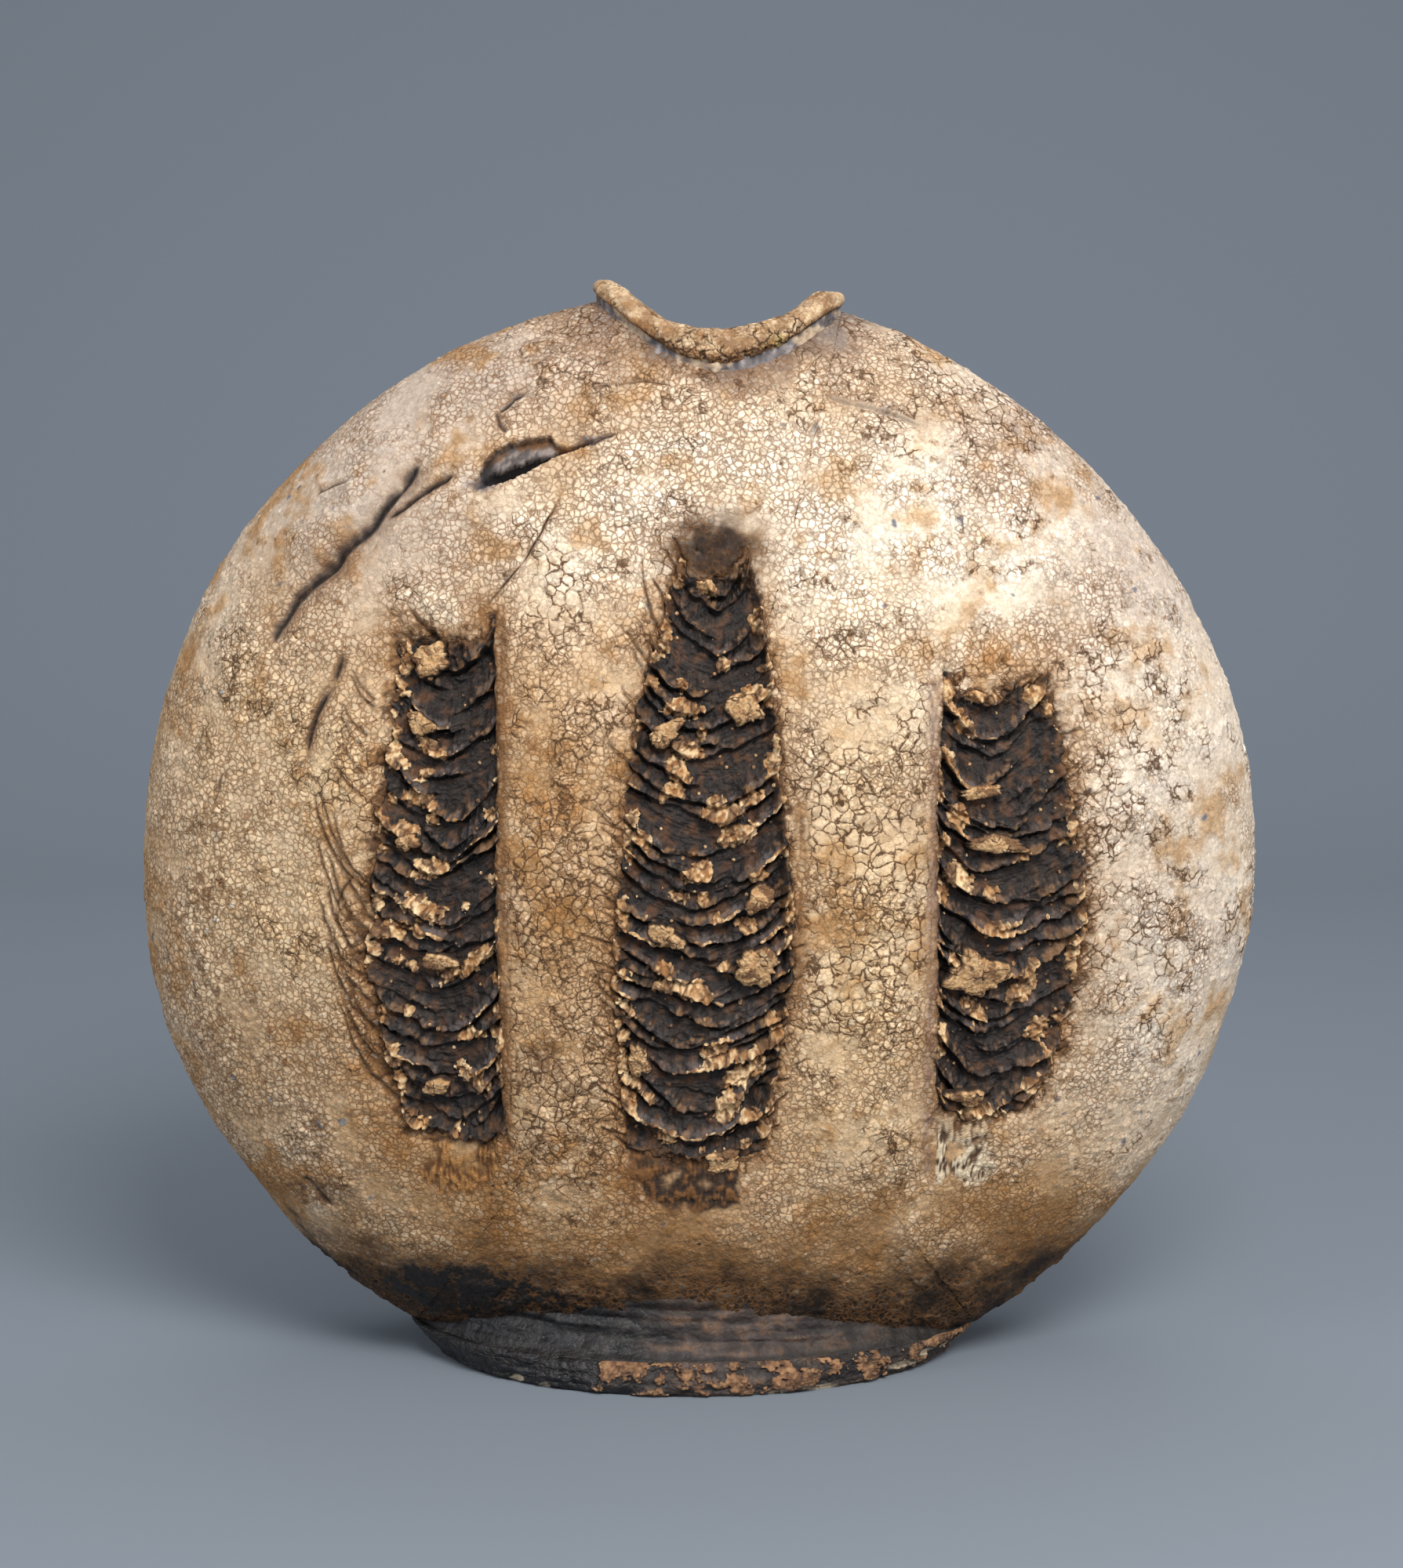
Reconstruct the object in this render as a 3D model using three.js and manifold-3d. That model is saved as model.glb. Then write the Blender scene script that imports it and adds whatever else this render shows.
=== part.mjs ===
// Disc vase of stoneware clay: two dished halves joined at the rim of the disc, an oval foot, a coiled
// mouth, and three stripes of raked clay inlaid in the front. Millimetres, +Z up. The origin is on the
// table at the middle of the foot. The front faces -Y.
import * as THREE from 'three';
import { mergeVertices } from 'three/addons/utils/BufferGeometryUtils.js';
import Module from 'manifold-3d';

// ---- driving dimensions -------------------------------------------------------------------------
const DISC_CENTRE_Z = 201.7;      // height of the disc's centre above the table
const HALF_THICKNESS = 92;        // disc's half thickness at its centre
const WALL = 12.5;                // wall of the two dished halves
const GAP = 0.3;                  // clearance between touching pieces
// radius of the disc's outline every 15 degrees, from -180, counter-clockwise seen from the front
const OUTLINE = [224.4, 226.0, 224.8, 223.2, 223.4, 224.5, 225, 224, 223.2, 222.6, 224.3, 226.0,
  226.4, 225.2, 223.8, 224.4, 225.4, 227.2, 228, 228, 227.1, 225.8, 225.4, 224.6];
const BODY_FLOOR_Z = 11.3;        // the halves are cut off flat here and stand on the foot
const SLAB_TOP_Z = 21;            // top of the floor slab inside the body
const BAND_H = 13;                // height of the foot's lower band
const BAND_A = 106, BAND_B = 75;  // half width and half depth of the band at the table
const BAND_TOP_A = 118, BAND_TOP_B = 71.5;
const BAND_HOLE_A = 88, BAND_HOLE_B = 37;
const FOOT_CX = -2;               // the foot sits slightly left of the disc's centre
const WAIST_TOP_Z = 27;
const MOUTH_CX = 9;               // the mouth sits slightly right of the disc's centre
const MOUTH_A = 48.5, MOUTH_B = 42.7;   // outside of the collar
const COLLAR_T = 6;
const MOUTH_POINT = 1.85;         // exponent of the lens-shaped mouth outline
const RECESS_DEPTH = 7.2;         // depth of the recesses for the raked stripes
const PANEL_BACK = 6.5;           // depth of the back of each raked panel
const RIDGE_PITCH = 8.6;          // spacing of the raked ridges

// ---- body surface -------------------------------------------------------------------------------
function outlineRadius(th) {
  const n = OUTLINE.length;
  const d = (th * 180 / Math.PI + 180) / 15;
  const i = Math.floor(d), f = d - i;
  const at = (k) => OUTLINE[((k % n) + n) % n];
  const p0 = at(i - 1), p1 = at(i), p2 = at(i + 1), p3 = at(i + 2);
  return p1 + 0.5 * f * (p2 - p0 + f * (2 * p0 - 5 * p1 + 4 * p2 - p3 + f * (3 * (p1 - p2) + p3 - p0)));
}
const fullness = (th) => 2.12 - 0.27 * Math.max(0, Math.sin(th)) ** 2;
// half depth of the body at x, z, with the surface moved inward by off
function depthAt(x, z, off = 0) {
  const dz = z - DISC_CENTRE_Z;
  const r = Math.hypot(x, dz), th = Math.atan2(dz, x);
  const q = r / (outlineRadius(th) - off);
  return (HALF_THICKNESS - off) * Math.sqrt(Math.max(0, 1 - q ** fullness(th)));
}
// height of the top of the body at x, y
function topAt(x, y, off = 0) {
  let lo = DISC_CENTRE_Z, hi = 450;
  for (let k = 0; k < 40; k++) {
    const m = (lo + hi) / 2;
    const dz = m - DISC_CENTRE_Z, th = Math.atan2(dz, x);
    const inside = Math.hypot(x, dz) < outlineRadius(th) - off && depthAt(x, m, off) > Math.abs(y);
    if (inside) lo = m; else hi = m;
  }
  return lo;
}

// ---- solids -------------------------------------------------------------------------------------
const wasm = await Module();
wasm.setup();

function toManifold(geometry) {
  const g = geometry.clone();
  g.deleteAttribute('normal');
  g.deleteAttribute('uv');
  const w = mergeVertices(g, 1e-4);
  const m = new wasm.Manifold(new wasm.Mesh({
    numProp: 3,
    vertProperties: new Float32Array(w.attributes.position.array),
    triVerts: new Uint32Array(w.index.array),
  }));
  return m;
}
function toGeometry(manifold) {
  const m = manifold.getMesh();
  const p = new Float32Array(m.numVert * 3);
  for (let i = 0; i < m.numVert; i++) {
    for (let k = 0; k < 3; k++) p[3 * i + k] = m.vertProperties[m.numProp * i + k];
  }
  const g = new THREE.BufferGeometry();
  g.setAttribute('position', new THREE.BufferAttribute(p, 3));
  g.setIndex(new THREE.BufferAttribute(new Uint32Array(m.triVerts), 1));
  return g;
}
// closed solid from vertices and quads
function closedGeometry(verts, quads) {
  const g = new THREE.BufferGeometry();
  g.setAttribute('position', new THREE.BufferAttribute(new Float32Array(verts.flat()), 3));
  const idx = [];
  for (const [a, b, c, d] of quads) idx.push(a, b, c, a, c, d);
  g.setIndex(idx);
  return g;
}

// whole lens of the body, its surface moved inward by off: a sphere with poles front and back,
// reshaped to the disc's outline and profile
function lens(off, around = 48, rows = 18) {
  const g = new THREE.SphereGeometry(1, around, rows);
  const p = g.attributes.position;
  for (let i = 0; i < p.count; i++) {
    const sx = p.getX(i), sy = p.getY(i), sz = p.getZ(i);
    const q = Math.min(1, Math.hypot(sx, sz));
    const th = Math.atan2(sz, sx);
    const R = outlineRadius(th) - off;
    const y = (HALF_THICKNESS - off) * Math.sqrt(Math.max(0, 1 - q ** fullness(th)));
    p.setXYZ(i, R * q * Math.cos(th), (sy < -1e-9 ? -1 : sy > 1e-9 ? 1 : 0) * y, DISC_CENTRE_Z + R * q * Math.sin(th));
  }
  return toManifold(g);
}
function block(x0, x1, y0, y1, z0, z1) {
  const g = new THREE.BoxGeometry(x1 - x0, y1 - y0, z1 - z0);
  g.translate((x0 + x1) / 2, (y0 + y1) / 2, (z0 + z1) / 2);
  return toManifold(g);
}
// oval frustum standing on z0, through rows of [z, half width, half depth]
function ovalSolid(cx, rows, n = 2, around = 48) {
  const verts = [], quads = [];
  const sgn = (v) => Math.sign(v) * Math.abs(v) ** (2 / n);
  for (const [z, a, b] of rows) {
    for (let i = 0; i < around; i++) {
      const f = 2 * Math.PI * i / around;
      verts.push([cx + a * sgn(Math.cos(f)), b * sgn(Math.sin(f)), z]);
    }
  }
  for (let k = 0; k + 1 < rows.length; k++) {
    for (let i = 0; i < around; i++) {
      const j = (i + 1) % around;
      quads.push([k * around + i, k * around + j, (k + 1) * around + j, (k + 1) * around + i]);
    }
  }
  const g = closedGeometry(verts, quads);
  const idx = Array.from(g.index.array);
  const last = (rows.length - 1) * around;
  for (let i = 1; i + 1 < around; i++) {
    idx.push(0, i + 1, i);
    idx.push(last, last + i, last + i + 1);
  }
  g.setIndex(idx);
  return toManifold(g);
}
// prism along Y over an outline of [x, z] points, counter-clockwise seen from the front
function prismY(points, y0, y1) {
  const shape = new THREE.Shape(points.map(([x, z]) => new THREE.Vector2(x, z)));
  const g = new THREE.ExtrudeGeometry(shape, { depth: y1 - y0, bevelEnabled: false, steps: 1 });
  g.rotateX(Math.PI / 2);
  g.translate(0, y1, 0);
  return toManifold(g);
}

// ---- raked stripes ------------------------------------------------------------------------------
// each edge is [x, z] from top to bottom; sag is how far the middle of a ridge hangs below its ends
const STRIPES = {
  left: {
    left: [[-112, 308], [-114.8, 290.5], [-118.4, 257.8], [-123.9, 221.6], [-127.5, 184.6], [-125.5, 160],
      [-119.5, 132], [-112.5, 108], [-104, 84]],
    right: [[-77.5, 308], [-76.2, 290], [-75.7, 258], [-76.2, 205], [-76, 160], [-75.4, 130], [-74, 105], [-73.5, 84]],
    top: 308, bottom: 90, sag: 10,
  },
  centre: {
    left: [[-3, 341], [-8, 327], [-13, 310], [-17.5, 292], [-22, 279], [-25.5, 250], [-28, 220], [-31, 185], [-31.4, 160],
      [-29, 130], [-26.5, 100], [-22.5, 72]],
    right: [[16, 341], [22.5, 327], [26, 311], [28.5, 291], [31.5, 262], [34, 228], [37.3, 188], [36, 166], [31.4, 142],
      [29, 118], [24, 92], [16, 72]],
    top: 341, bottom: 76, sag: 13,
  },
  right: {
    left: [[95.2, 287], [94, 276], [92.8, 240], [92.5, 204], [93.6, 165], [94, 130], [93.9, 96], [93.7, 82]],
    right: [[132, 287], [138.2, 274.7], [141.9, 257], [145.7, 238], [149, 220], [151.2, 201], [150.8, 183],
      [147.6, 164], [142.8, 145], [135.6, 126], [126.6, 110], [119, 96], [112, 82]],
    top: 287, bottom: 88, sag: 11,
  },
};
function edgeAt(edge, z) {
  if (z >= edge[0][1]) return edge[0][0];
  for (let i = 0; i + 1 < edge.length; i++) {
    const [x0, z0] = edge[i], [x1, z1] = edge[i + 1];
    if (z <= z0 && z >= z1) return x0 + (x1 - x0) * (z0 - z) / (z0 - z1);
  }
  return edge[edge.length - 1][0];
}
// the same edge with its corners rounded
function edgeX(edge, z) {
  let sum = 0;
  for (let k = -4; k <= 4; k++) sum += edgeAt(edge, z + 3 * k);
  return sum / 9;
}
// point of a stripe: u from 0 at its left edge to 1 at its right, z is the height at both edges
function stripePoint(s, u, z, grow = 0) {
  const xl = edgeX(s.left, z), xr = edgeX(s.right, z);
  const x = xl - grow + (xr - xl + 2 * grow) * u;
  const t = Math.min(1, Math.max(0, (x - xl) / (xr - xl)));
  const sag = s.sag * Math.min(1, (xr - xl) / 55);
  return [x, z - sag * (1 - (2 * t - 1) ** 2)];
}
function stripeOutline(s, grow, nu = 6, step = 8.6) {
  const top = s.top + grow, bottom = s.bottom - grow;
  const n = Math.round((s.top - s.bottom) / step);
  const pts = [];
  for (let i = 0; i <= n; i++) pts.push(stripePoint(s, 0, top + (bottom - top) * i / n, grow));
  for (let i = 1; i < nu; i++) pts.push(stripePoint(s, i / nu, bottom, grow));
  for (let i = n; i >= 0; i--) pts.push(stripePoint(s, 1, top + (bottom - top) * i / n, grow));
  for (let i = nu - 1; i > 0; i--) pts.push(stripePoint(s, i / nu, top, grow));
  return pts;
}
// closed panel with crescent ridges on the front, smooth at the back
function rakedPanel(s) {
  const nu = 6, nb = 6;
  const ridges = Math.round((s.top - s.bottom) / RIDGE_PITCH);
  const rows = 2 * ridges;
  const verts = [], quads = [];
  for (let j = 0; j <= rows; j++) {
    const z = s.top + (s.bottom - s.top) * j / rows;
    for (let i = 0; i <= nu; i++) {
      const u = i / nu;
      const [x, zz] = stripePoint(s, u, z);
      const end = Math.min(1, j / 3, (rows - j) / 3);
      const crest = (j % 2 === 1) ? 0.9 * end : -3.4 * end - 1.2 * (1 - end);
      const side = (i === 0 || i === nu) ? -1.6 : crest;
      verts.push([x, -(depthAt(x, zz) + side), zz]);
    }
  }
  const F = (i, j) => j * (nu + 1) + i;
  const base = verts.length;
  for (let j = 0; j <= rows; j++) {
    const z = s.top + (s.bottom - s.top) * j / rows;
    for (let i = 0; i <= nb; i++) {
      const [x, zz] = stripePoint(s, i / nb, z);
      verts.push([x, -depthAt(x, zz, PANEL_BACK), zz]);
    }
  }
  const B = (i, j) => base + j * (nb + 1) + i;
  for (let j = 0; j < rows; j++) {
    for (let i = 0; i < nu; i++) quads.push([F(i, j), F(i, j + 1), F(i + 1, j + 1), F(i + 1, j)]);
    for (let i = 0; i < nb; i++) quads.push([B(i, j), B(i + 1, j), B(i + 1, j + 1), B(i, j + 1)]);
    quads.push([F(0, j), B(0, j), B(0, j + 1), F(0, j + 1)]);
    quads.push([F(nu, j), F(nu, j + 1), B(nb, j + 1), B(nb, j)]);
  }
  for (let i = 0; i < nu; i++) {
    quads.push([F(i, 0), F(i + 1, 0), B(i + 1, 0), B(i, 0)]);
    quads.push([F(i, rows), B(i, rows), B(i + 1, rows), F(i + 1, rows)]);
  }
  return closedGeometry(verts, quads);
}
// torn pad of clay standing just clear of the ridges: a flattened dome with a lobed outline
function tornPad(cx, cz, w, h, thick, turn, lobes) {
  const n = 12;
  const rings = [[1.0, 0.0], [1.0, 0.35], [0.72, 0.85], [0.36, 1.0]];
  const verts = [], quads = [];
  const put = (u, v, t) => {
    const x = cx + u * Math.cos(turn) - v * Math.sin(turn);
    const z = cz + u * Math.sin(turn) + v * Math.cos(turn);
    verts.push([x, -(depthAt(x, z) + 1.35 + thick * t), z]);
  };
  for (const [k, t] of rings) {
    for (let i = 0; i < n; i++) {
      const f = 2 * Math.PI * i / n;
      const lobe = 1 + 0.13 * Math.sin(lobes * f + cx) + 0.06 * Math.cos(5 * f + cz);
      put(k * lobe * w / 2 * Math.cos(f), k * lobe * h / 2 * Math.sin(f), t);
    }
  }
  for (let k = 0; k + 1 < rings.length; k++) {
    for (let i = 0; i < n; i++) {
      const j = (i + 1) % n;
      quads.push([k * n + i, k * n + j, (k + 1) * n + j, (k + 1) * n + i]);
    }
  }
  put(0, 0, 0);
  put(0, 0, 1.04);
  const back = verts.length - 2, front = verts.length - 1, last = (rings.length - 1) * n;
  const g = closedGeometry(verts, quads);
  const idx = Array.from(g.index.array);
  for (let i = 0; i < n; i++) {
    const j = (i + 1) % n;
    idx.push(back, j, i);
    idx.push(front, last + i, last + j);
  }
  g.setIndex(idx);
  return g;
}
const PADS = {
  pad_left_1: [-101.6, 293.2, 15, 11, 3.2, 0.2, 2],
  pad_left_2: [-105.5, 269, 11, 7, 2.6, -0.3, 3],
  pad_left_3: [-111, 223.5, 9, 7, 2.4, 0.4, 2],
  pad_left_4: [-99, 177.3, 13, 6, 2.4, -0.1, 3],
  pad_left_5: [-101, 126.1, 10, 7, 2.4, 0.1, 2],
  pad_centre_1: [18.8, 275.9, 14, 11, 3.4, -0.5, 2],
  pad_centre_2: [-11.4, 267.2, 13, 9, 3.0, 0.5, 3],
  pad_centre_3: [23.6, 176.9, 19, 14, 4.2, -0.3, 2],
  pad_centre_4: [24.2, 203.5, 12, 9, 3.0, 0.7, 3],
  pad_centre_5: [-11, 188.8, 13, 10, 3.0, -0.6, 2],
  pad_centre_6: [-22, 139.7, 8, 12, 2.8, 0.2, 3],
  pad_centre_7: [10.5, 98.2, 16, 9, 2.8, 0.3, 2],
  pad_right_1: [108.2, 172.2, 21, 19, 3.6, 0.1, 2],
  pad_right_2: [116, 222.6, 21, 6.5, 2.4, -0.15, 3],
  pad_right_3: [109, 243.2, 16, 5.5, 2.4, 0.1, 2],
  pad_right_4: [106, 121.4, 15, 6, 2.4, -0.1, 3],
};

// ---- mouth --------------------------------------------------------------------------------------
// height of the lip's top, by distance from the mouth's left horn
const LIP_TOP_FRONT = [[-41, 431.5], [-37.6, 434], [-32.4, 432.8], [-26.5, 428.4], [-21.2, 423.6], [-15.4, 421],
  [-7.2, 419.4], [1.3, 418.2], [9.5, 417.7], [17.9, 418.3], [26.1, 420], [32.9, 422], [39.6, 424.3], [44, 426.3],
  [47.4, 429], [51, 431.2], [53.6, 431.4], [56.3, 430], [59, 428]];
const LIP_TOP_BACK = [[-41, 431.5], [-37.6, 433.4], [-32.4, 430], [-26.5, 424.8], [-21.2, 420.4], [-15.4, 417],
  [-7.2, 414.4], [1.3, 413.2], [9.5, 413], [17.9, 413.6], [26.1, 415.4], [32.9, 417.6], [39.6, 421], [44, 424],
  [47.4, 427.4], [51, 430], [53.6, 430.8], [56.3, 430], [59, 428]];
function table(rows, x) {
  if (x <= rows[0][0]) return rows[0][1];
  for (let i = 0; i + 1 < rows.length; i++) {
    if (x <= rows[i + 1][0]) return rows[i][1] + (rows[i + 1][1] - rows[i][1]) * (x - rows[i][0]) / (rows[i + 1][0] - rows[i][0]);
  }
  return rows[rows.length - 1][1];
}
function mouthPoint(f, a, b) {
  const sgn = (v) => Math.sign(v) * Math.abs(v) ** (2 / MOUTH_POINT);
  return [MOUTH_CX + a * sgn(Math.cos(f)), b * sgn(Math.sin(f))];
}
function collarTop(f) {
  const [x, y] = mouthPoint(f, MOUTH_A, MOUTH_B);
  return topAt(x, y) + 3.6;
}
function collar() {
  const n = 48, verts = [], quads = [];
  for (let i = 0; i < n; i++) {
    const f = 2 * Math.PI * i / n;
    const [xo, yo] = mouthPoint(f, MOUTH_A, MOUTH_B);
    const [xi, yi] = mouthPoint(f, MOUTH_A - COLLAR_T, MOUTH_B - COLLAR_T);
    const top = collarTop(f), low = topAt(xo, yo) - 16;
    verts.push([xo, yo, low], [xo, yo, top], [xi, yi, top], [xi, yi, low]);
  }
  for (let i = 0; i < n; i++) {
    const j = (i + 1) % n;
    for (let k = 0; k < 4; k++) quads.push([4 * i + k, 4 * j + k, 4 * j + (k + 1) % 4, 4 * i + (k + 1) % 4]);
  }
  return closedGeometry(verts, quads);
}
// half of the lip: a coil of oval section that thins towards the horns
function lipCoil(front) {
  const n = 26, m = 8, verts = [], quads = [];
  for (let i = 0; i <= n; i++) {
    const v = 0.02 + 0.96 * i / n;
    const f = front ? Math.PI * (1 + v) : Math.PI * v;
    const end = Math.sin(Math.PI * v) ** 0.6;
    const w = 3.1 + 1.5 * end;
    const [xo, yo] = mouthPoint(f, MOUTH_A + 1.5 - w, MOUTH_B + 1.9 - w);
    const low = collarTop(f) + GAP + 0.25;
    const top = Math.max(low + 4.2, table(front ? LIP_TOP_FRONT : LIP_TOP_BACK, MOUTH_CX + (xo - MOUTH_CX) * 1.05));
    const dx = (xo - MOUTH_CX) / (MOUTH_A * MOUTH_A), dy = yo / (MOUTH_B * MOUTH_B), d = Math.hypot(dx, dy);
    for (let k = 0; k < m; k++) {
      const g = 2 * Math.PI * (k + 0.5) / m;
      const c = Math.sign(Math.cos(g)) * Math.abs(Math.cos(g)) ** 0.8, s = Math.sign(Math.sin(g)) * Math.abs(Math.sin(g)) ** 0.8;
      verts.push([xo + w * 1.06 * c * dx / d, yo + w * 1.06 * c * dy / d, (low + top) / 2 + (top - low) / 2 * 1.06 * s]);
    }
  }
  for (let i = 0; i < n; i++) {
    for (let k = 0; k < m; k++) {
      const l = (k + 1) % m;
      quads.push([i * m + k, (i + 1) * m + k, (i + 1) * m + l, i * m + l]);
    }
  }
  const g = closedGeometry(verts, quads);
  const idx = Array.from(g.index.array);
  for (let k = 1; k + 1 < m; k++) {
    idx.push(0, k, k + 1);
    idx.push(n * m, n * m + k + 1, n * m + k);
  }
  g.setIndex(idx);
  let solid = toManifold(g);
  solid = front ? solid.subtract(block(-80, 100, -GAP / 2, 80, 380, 460)) : solid.subtract(block(-80, 100, -80, GAP / 2, 380, 460));
  return solid.subtract(toManifold(collar()).translate([0, 0, GAP]));
}

// ---- gashes cut in the front, as outlines seen from the front ------------------------------------
const GASHES = [
  { depth: 5.0, points: [[-84.9, 369.9], [-81.1, 362.7], [-71.3, 359.1], [-59.2, 358.1], [-51.4, 364.5], [-40.7, 371.9],
    [-41.9, 376.2], [-56.5, 378.4], [-74.7, 379.4], [-83.2, 375.7]] },
  { depth: 3.2, points: [[-165.5, 301.5], [-162, 301.5], [-146, 316.5], [-135.5, 327.5], [-124.5, 338.2], [-115.5, 350],
    [-106, 362], [-107.5, 365], [-110.5, 364], [-119, 353.5], [-128, 341.4], [-139, 330.8], [-150, 320], [-157.5, 311.5]] },
  { depth: 2.6, points: [[-112, 348.5], [-103, 353.2], [-93.5, 359.3], [-94.5, 362.8], [-104, 356.8], [-113, 351.8]] },
  { depth: 2.6, points: [[-155.5, 244.5], [-152, 245.5], [-147.3, 265.8], [-141, 280.8], [-132, 292], [-134.5, 294.5],
    [-144, 282], [-150.6, 266.6]] },
  { depth: 2.4, points: [[45, 391.8], [67.2, 385.6], [92, 377], [92.5, 380], [67.6, 389.4], [46.5, 395.5]] },
];

// ---- assembly -----------------------------------------------------------------------------------
const group = new THREE.Group();
function add(name, geometry, color, roughness = 0.85, metalness = 0) {
  geometry.computeVertexNormals();
  const mesh = new THREE.Mesh(geometry, new THREE.MeshStandardMaterial({ color, roughness, metalness }));
  mesh.name = name;
  group.add(mesh);
}

const outer = lens(0);
const grown = lens(-GAP);
const inner = lens(WALL);
const innerLoose = lens(WALL + GAP);
const mouthHole = ovalSolid(MOUTH_CX, [[370, MOUTH_A + GAP, MOUTH_B + GAP], [470, MOUTH_A + GAP, MOUTH_B + GAP]], MOUTH_POINT);
let wall = outer.subtract(inner)
  .subtract(block(-200, 200, -150, 150, -60, BODY_FLOOR_Z))
  .subtract(mouthHole);

let frontShell = wall.subtract(block(-300, 300, -GAP / 2, 200, -60, 480));
const backShell = wall.subtract(block(-300, 300, -200, GAP / 2, -60, 480));
const recessCore = lens(RECESS_DEPTH);
for (const s of Object.values(STRIPES)) {
  frontShell = frontShell.subtract(prismY(stripeOutline(s, 0.7), -160, -20).subtract(recessCore));
}
for (const g of GASHES) {
  frontShell = frontShell.subtract(prismY(g.points, -160, -20).subtract(lens(g.depth)));
}

const slabSection = block(-200, 200, -150, 150, BODY_FLOOR_Z, SLAB_TOP_Z);
const floorSlab = innerLoose.intersect(slabSection);

const bandHole = ovalSolid(FOOT_CX, [[-5, BAND_HOLE_A, BAND_HOLE_B], [BAND_H + 5, BAND_HOLE_A, BAND_HOLE_B]]);
const underBody = block(-200, 200, -150, 150, BODY_FLOOR_Z - GAP, 60).intersect(grown);
const footBand = ovalSolid(FOOT_CX, [[0, BAND_A, BAND_B], [4.5, BAND_A + 3, BAND_B + 0.8], [9, BAND_A + 8, BAND_B - 0.8],
  [BAND_H, BAND_TOP_A, BAND_TOP_B]]).subtract(bandHole).subtract(underBody);

const waist = ovalSolid(FOOT_CX, [[BAND_H + GAP, 116, 69.8], [17, 113, 66], [21.5, 110, 63.4], [WAIST_TOP_Z, 108, 61.8]]).subtract(grown);
const waistFront = waist.intersect(block(-200, 200, -150, -2, 0, 60));
const waistBack = waist.intersect(block(-200, 200, 2, 150, 0, 60));

add('front_shell', toGeometry(frontShell), 0xb08f6c, 0.86);
add('back_shell', toGeometry(backShell), 0xb39470, 0.86);
add('floor_slab', toGeometry(floorSlab), 0x8a6a4a, 0.9);
add('foot_band', toGeometry(footBand), 0x5c4a3d, 0.62);
add('foot_waist_front', toGeometry(waistFront), 0x4a413c, 0.55);
add('foot_waist_back', toGeometry(waistBack), 0x4a413c, 0.55);
add('neck_collar', collar(), 0x7f7468, 0.75);
add('lip_coil_front', toGeometry(lipCoil(true)), 0x9e8468, 0.8);
add('lip_coil_back', toGeometry(lipCoil(false)), 0x9e8468, 0.8);
add('raked_panel_left', rakedPanel(STRIPES.left), 0x413936, 0.7);
add('raked_panel_centre', rakedPanel(STRIPES.centre), 0x413936, 0.7);
add('raked_panel_right', rakedPanel(STRIPES.right), 0x453c38, 0.7);
for (const [name, [x, z, w, h, t, turn, lobes]] of Object.entries(PADS)) {
  add(name, tornPad(x, z, w, h, t, turn, lobes), 0xb08e69, 0.82);
}

export default group;
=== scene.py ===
import bpy
import math
import numpy as np
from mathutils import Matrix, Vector


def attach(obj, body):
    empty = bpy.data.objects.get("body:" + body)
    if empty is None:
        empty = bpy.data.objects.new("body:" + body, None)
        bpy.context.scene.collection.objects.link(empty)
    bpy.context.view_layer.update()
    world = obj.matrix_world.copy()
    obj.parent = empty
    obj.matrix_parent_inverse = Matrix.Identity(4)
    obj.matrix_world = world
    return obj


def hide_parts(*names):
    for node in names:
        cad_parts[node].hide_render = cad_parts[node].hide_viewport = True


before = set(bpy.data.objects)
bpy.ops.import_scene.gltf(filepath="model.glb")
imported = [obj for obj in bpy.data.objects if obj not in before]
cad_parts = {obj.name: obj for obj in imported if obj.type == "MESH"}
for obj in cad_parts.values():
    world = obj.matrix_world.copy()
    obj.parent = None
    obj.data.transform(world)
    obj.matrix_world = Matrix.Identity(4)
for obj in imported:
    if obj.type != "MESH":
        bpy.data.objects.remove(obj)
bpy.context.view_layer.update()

F = np.float32

# ---------------------------------------------------------------- camera
CAM_X, CAM_Y, CAM_Z, CAM_PITCH = 0.00206, -1.400, 0.4628, 9.310
IMG_W, IMG_H = 1789, 2000

# ---------------------------------------------------------------- dimensions, mm
ZC, T, WALL = 201.7, 92.0, 12.5
OUTLINE = np.array([224.4, 226.0, 224.8, 223.2, 223.4, 224.5, 225, 224, 223.2, 222.6, 224.3, 226.0,
                    226.4, 225.2, 223.8, 224.4, 225.4, 227.2, 228, 228, 227.1, 225.8, 225.4, 224.6])
BODY_FLOOR_Z = 11.3
FOOT_CX = -2.0
MOUTH_CX, MOUTH_A, MOUTH_B, MOUTH_P = 9.0, 48.5, 42.7, 1.85
BED = 6.4                     # depth of the raked stripes' beds

# ---------------------------------------------------------------- noise
rng = np.random.default_rng(11)
PT = rng.random((64, 64, 64, 3), dtype=F).reshape(-1, 3)
_g = rng.normal(size=(64 ** 3, 3)).astype(F)
GR = _g / np.linalg.norm(_g, axis=1, keepdims=True)
ID = rng.random(64 ** 3, dtype=F)


def cell_index(i, j, k):
    return ((i & 63) * 64 + (j & 63)) * 64 + (k & 63)


def chunks(fn, P, *args):
    out = [fn(P[s:s + 150000], *args) for s in range(0, len(P), 150000)]
    if isinstance(out[0], tuple):
        return tuple(np.concatenate(c) for c in zip(*out))
    return np.concatenate(out)


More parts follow.
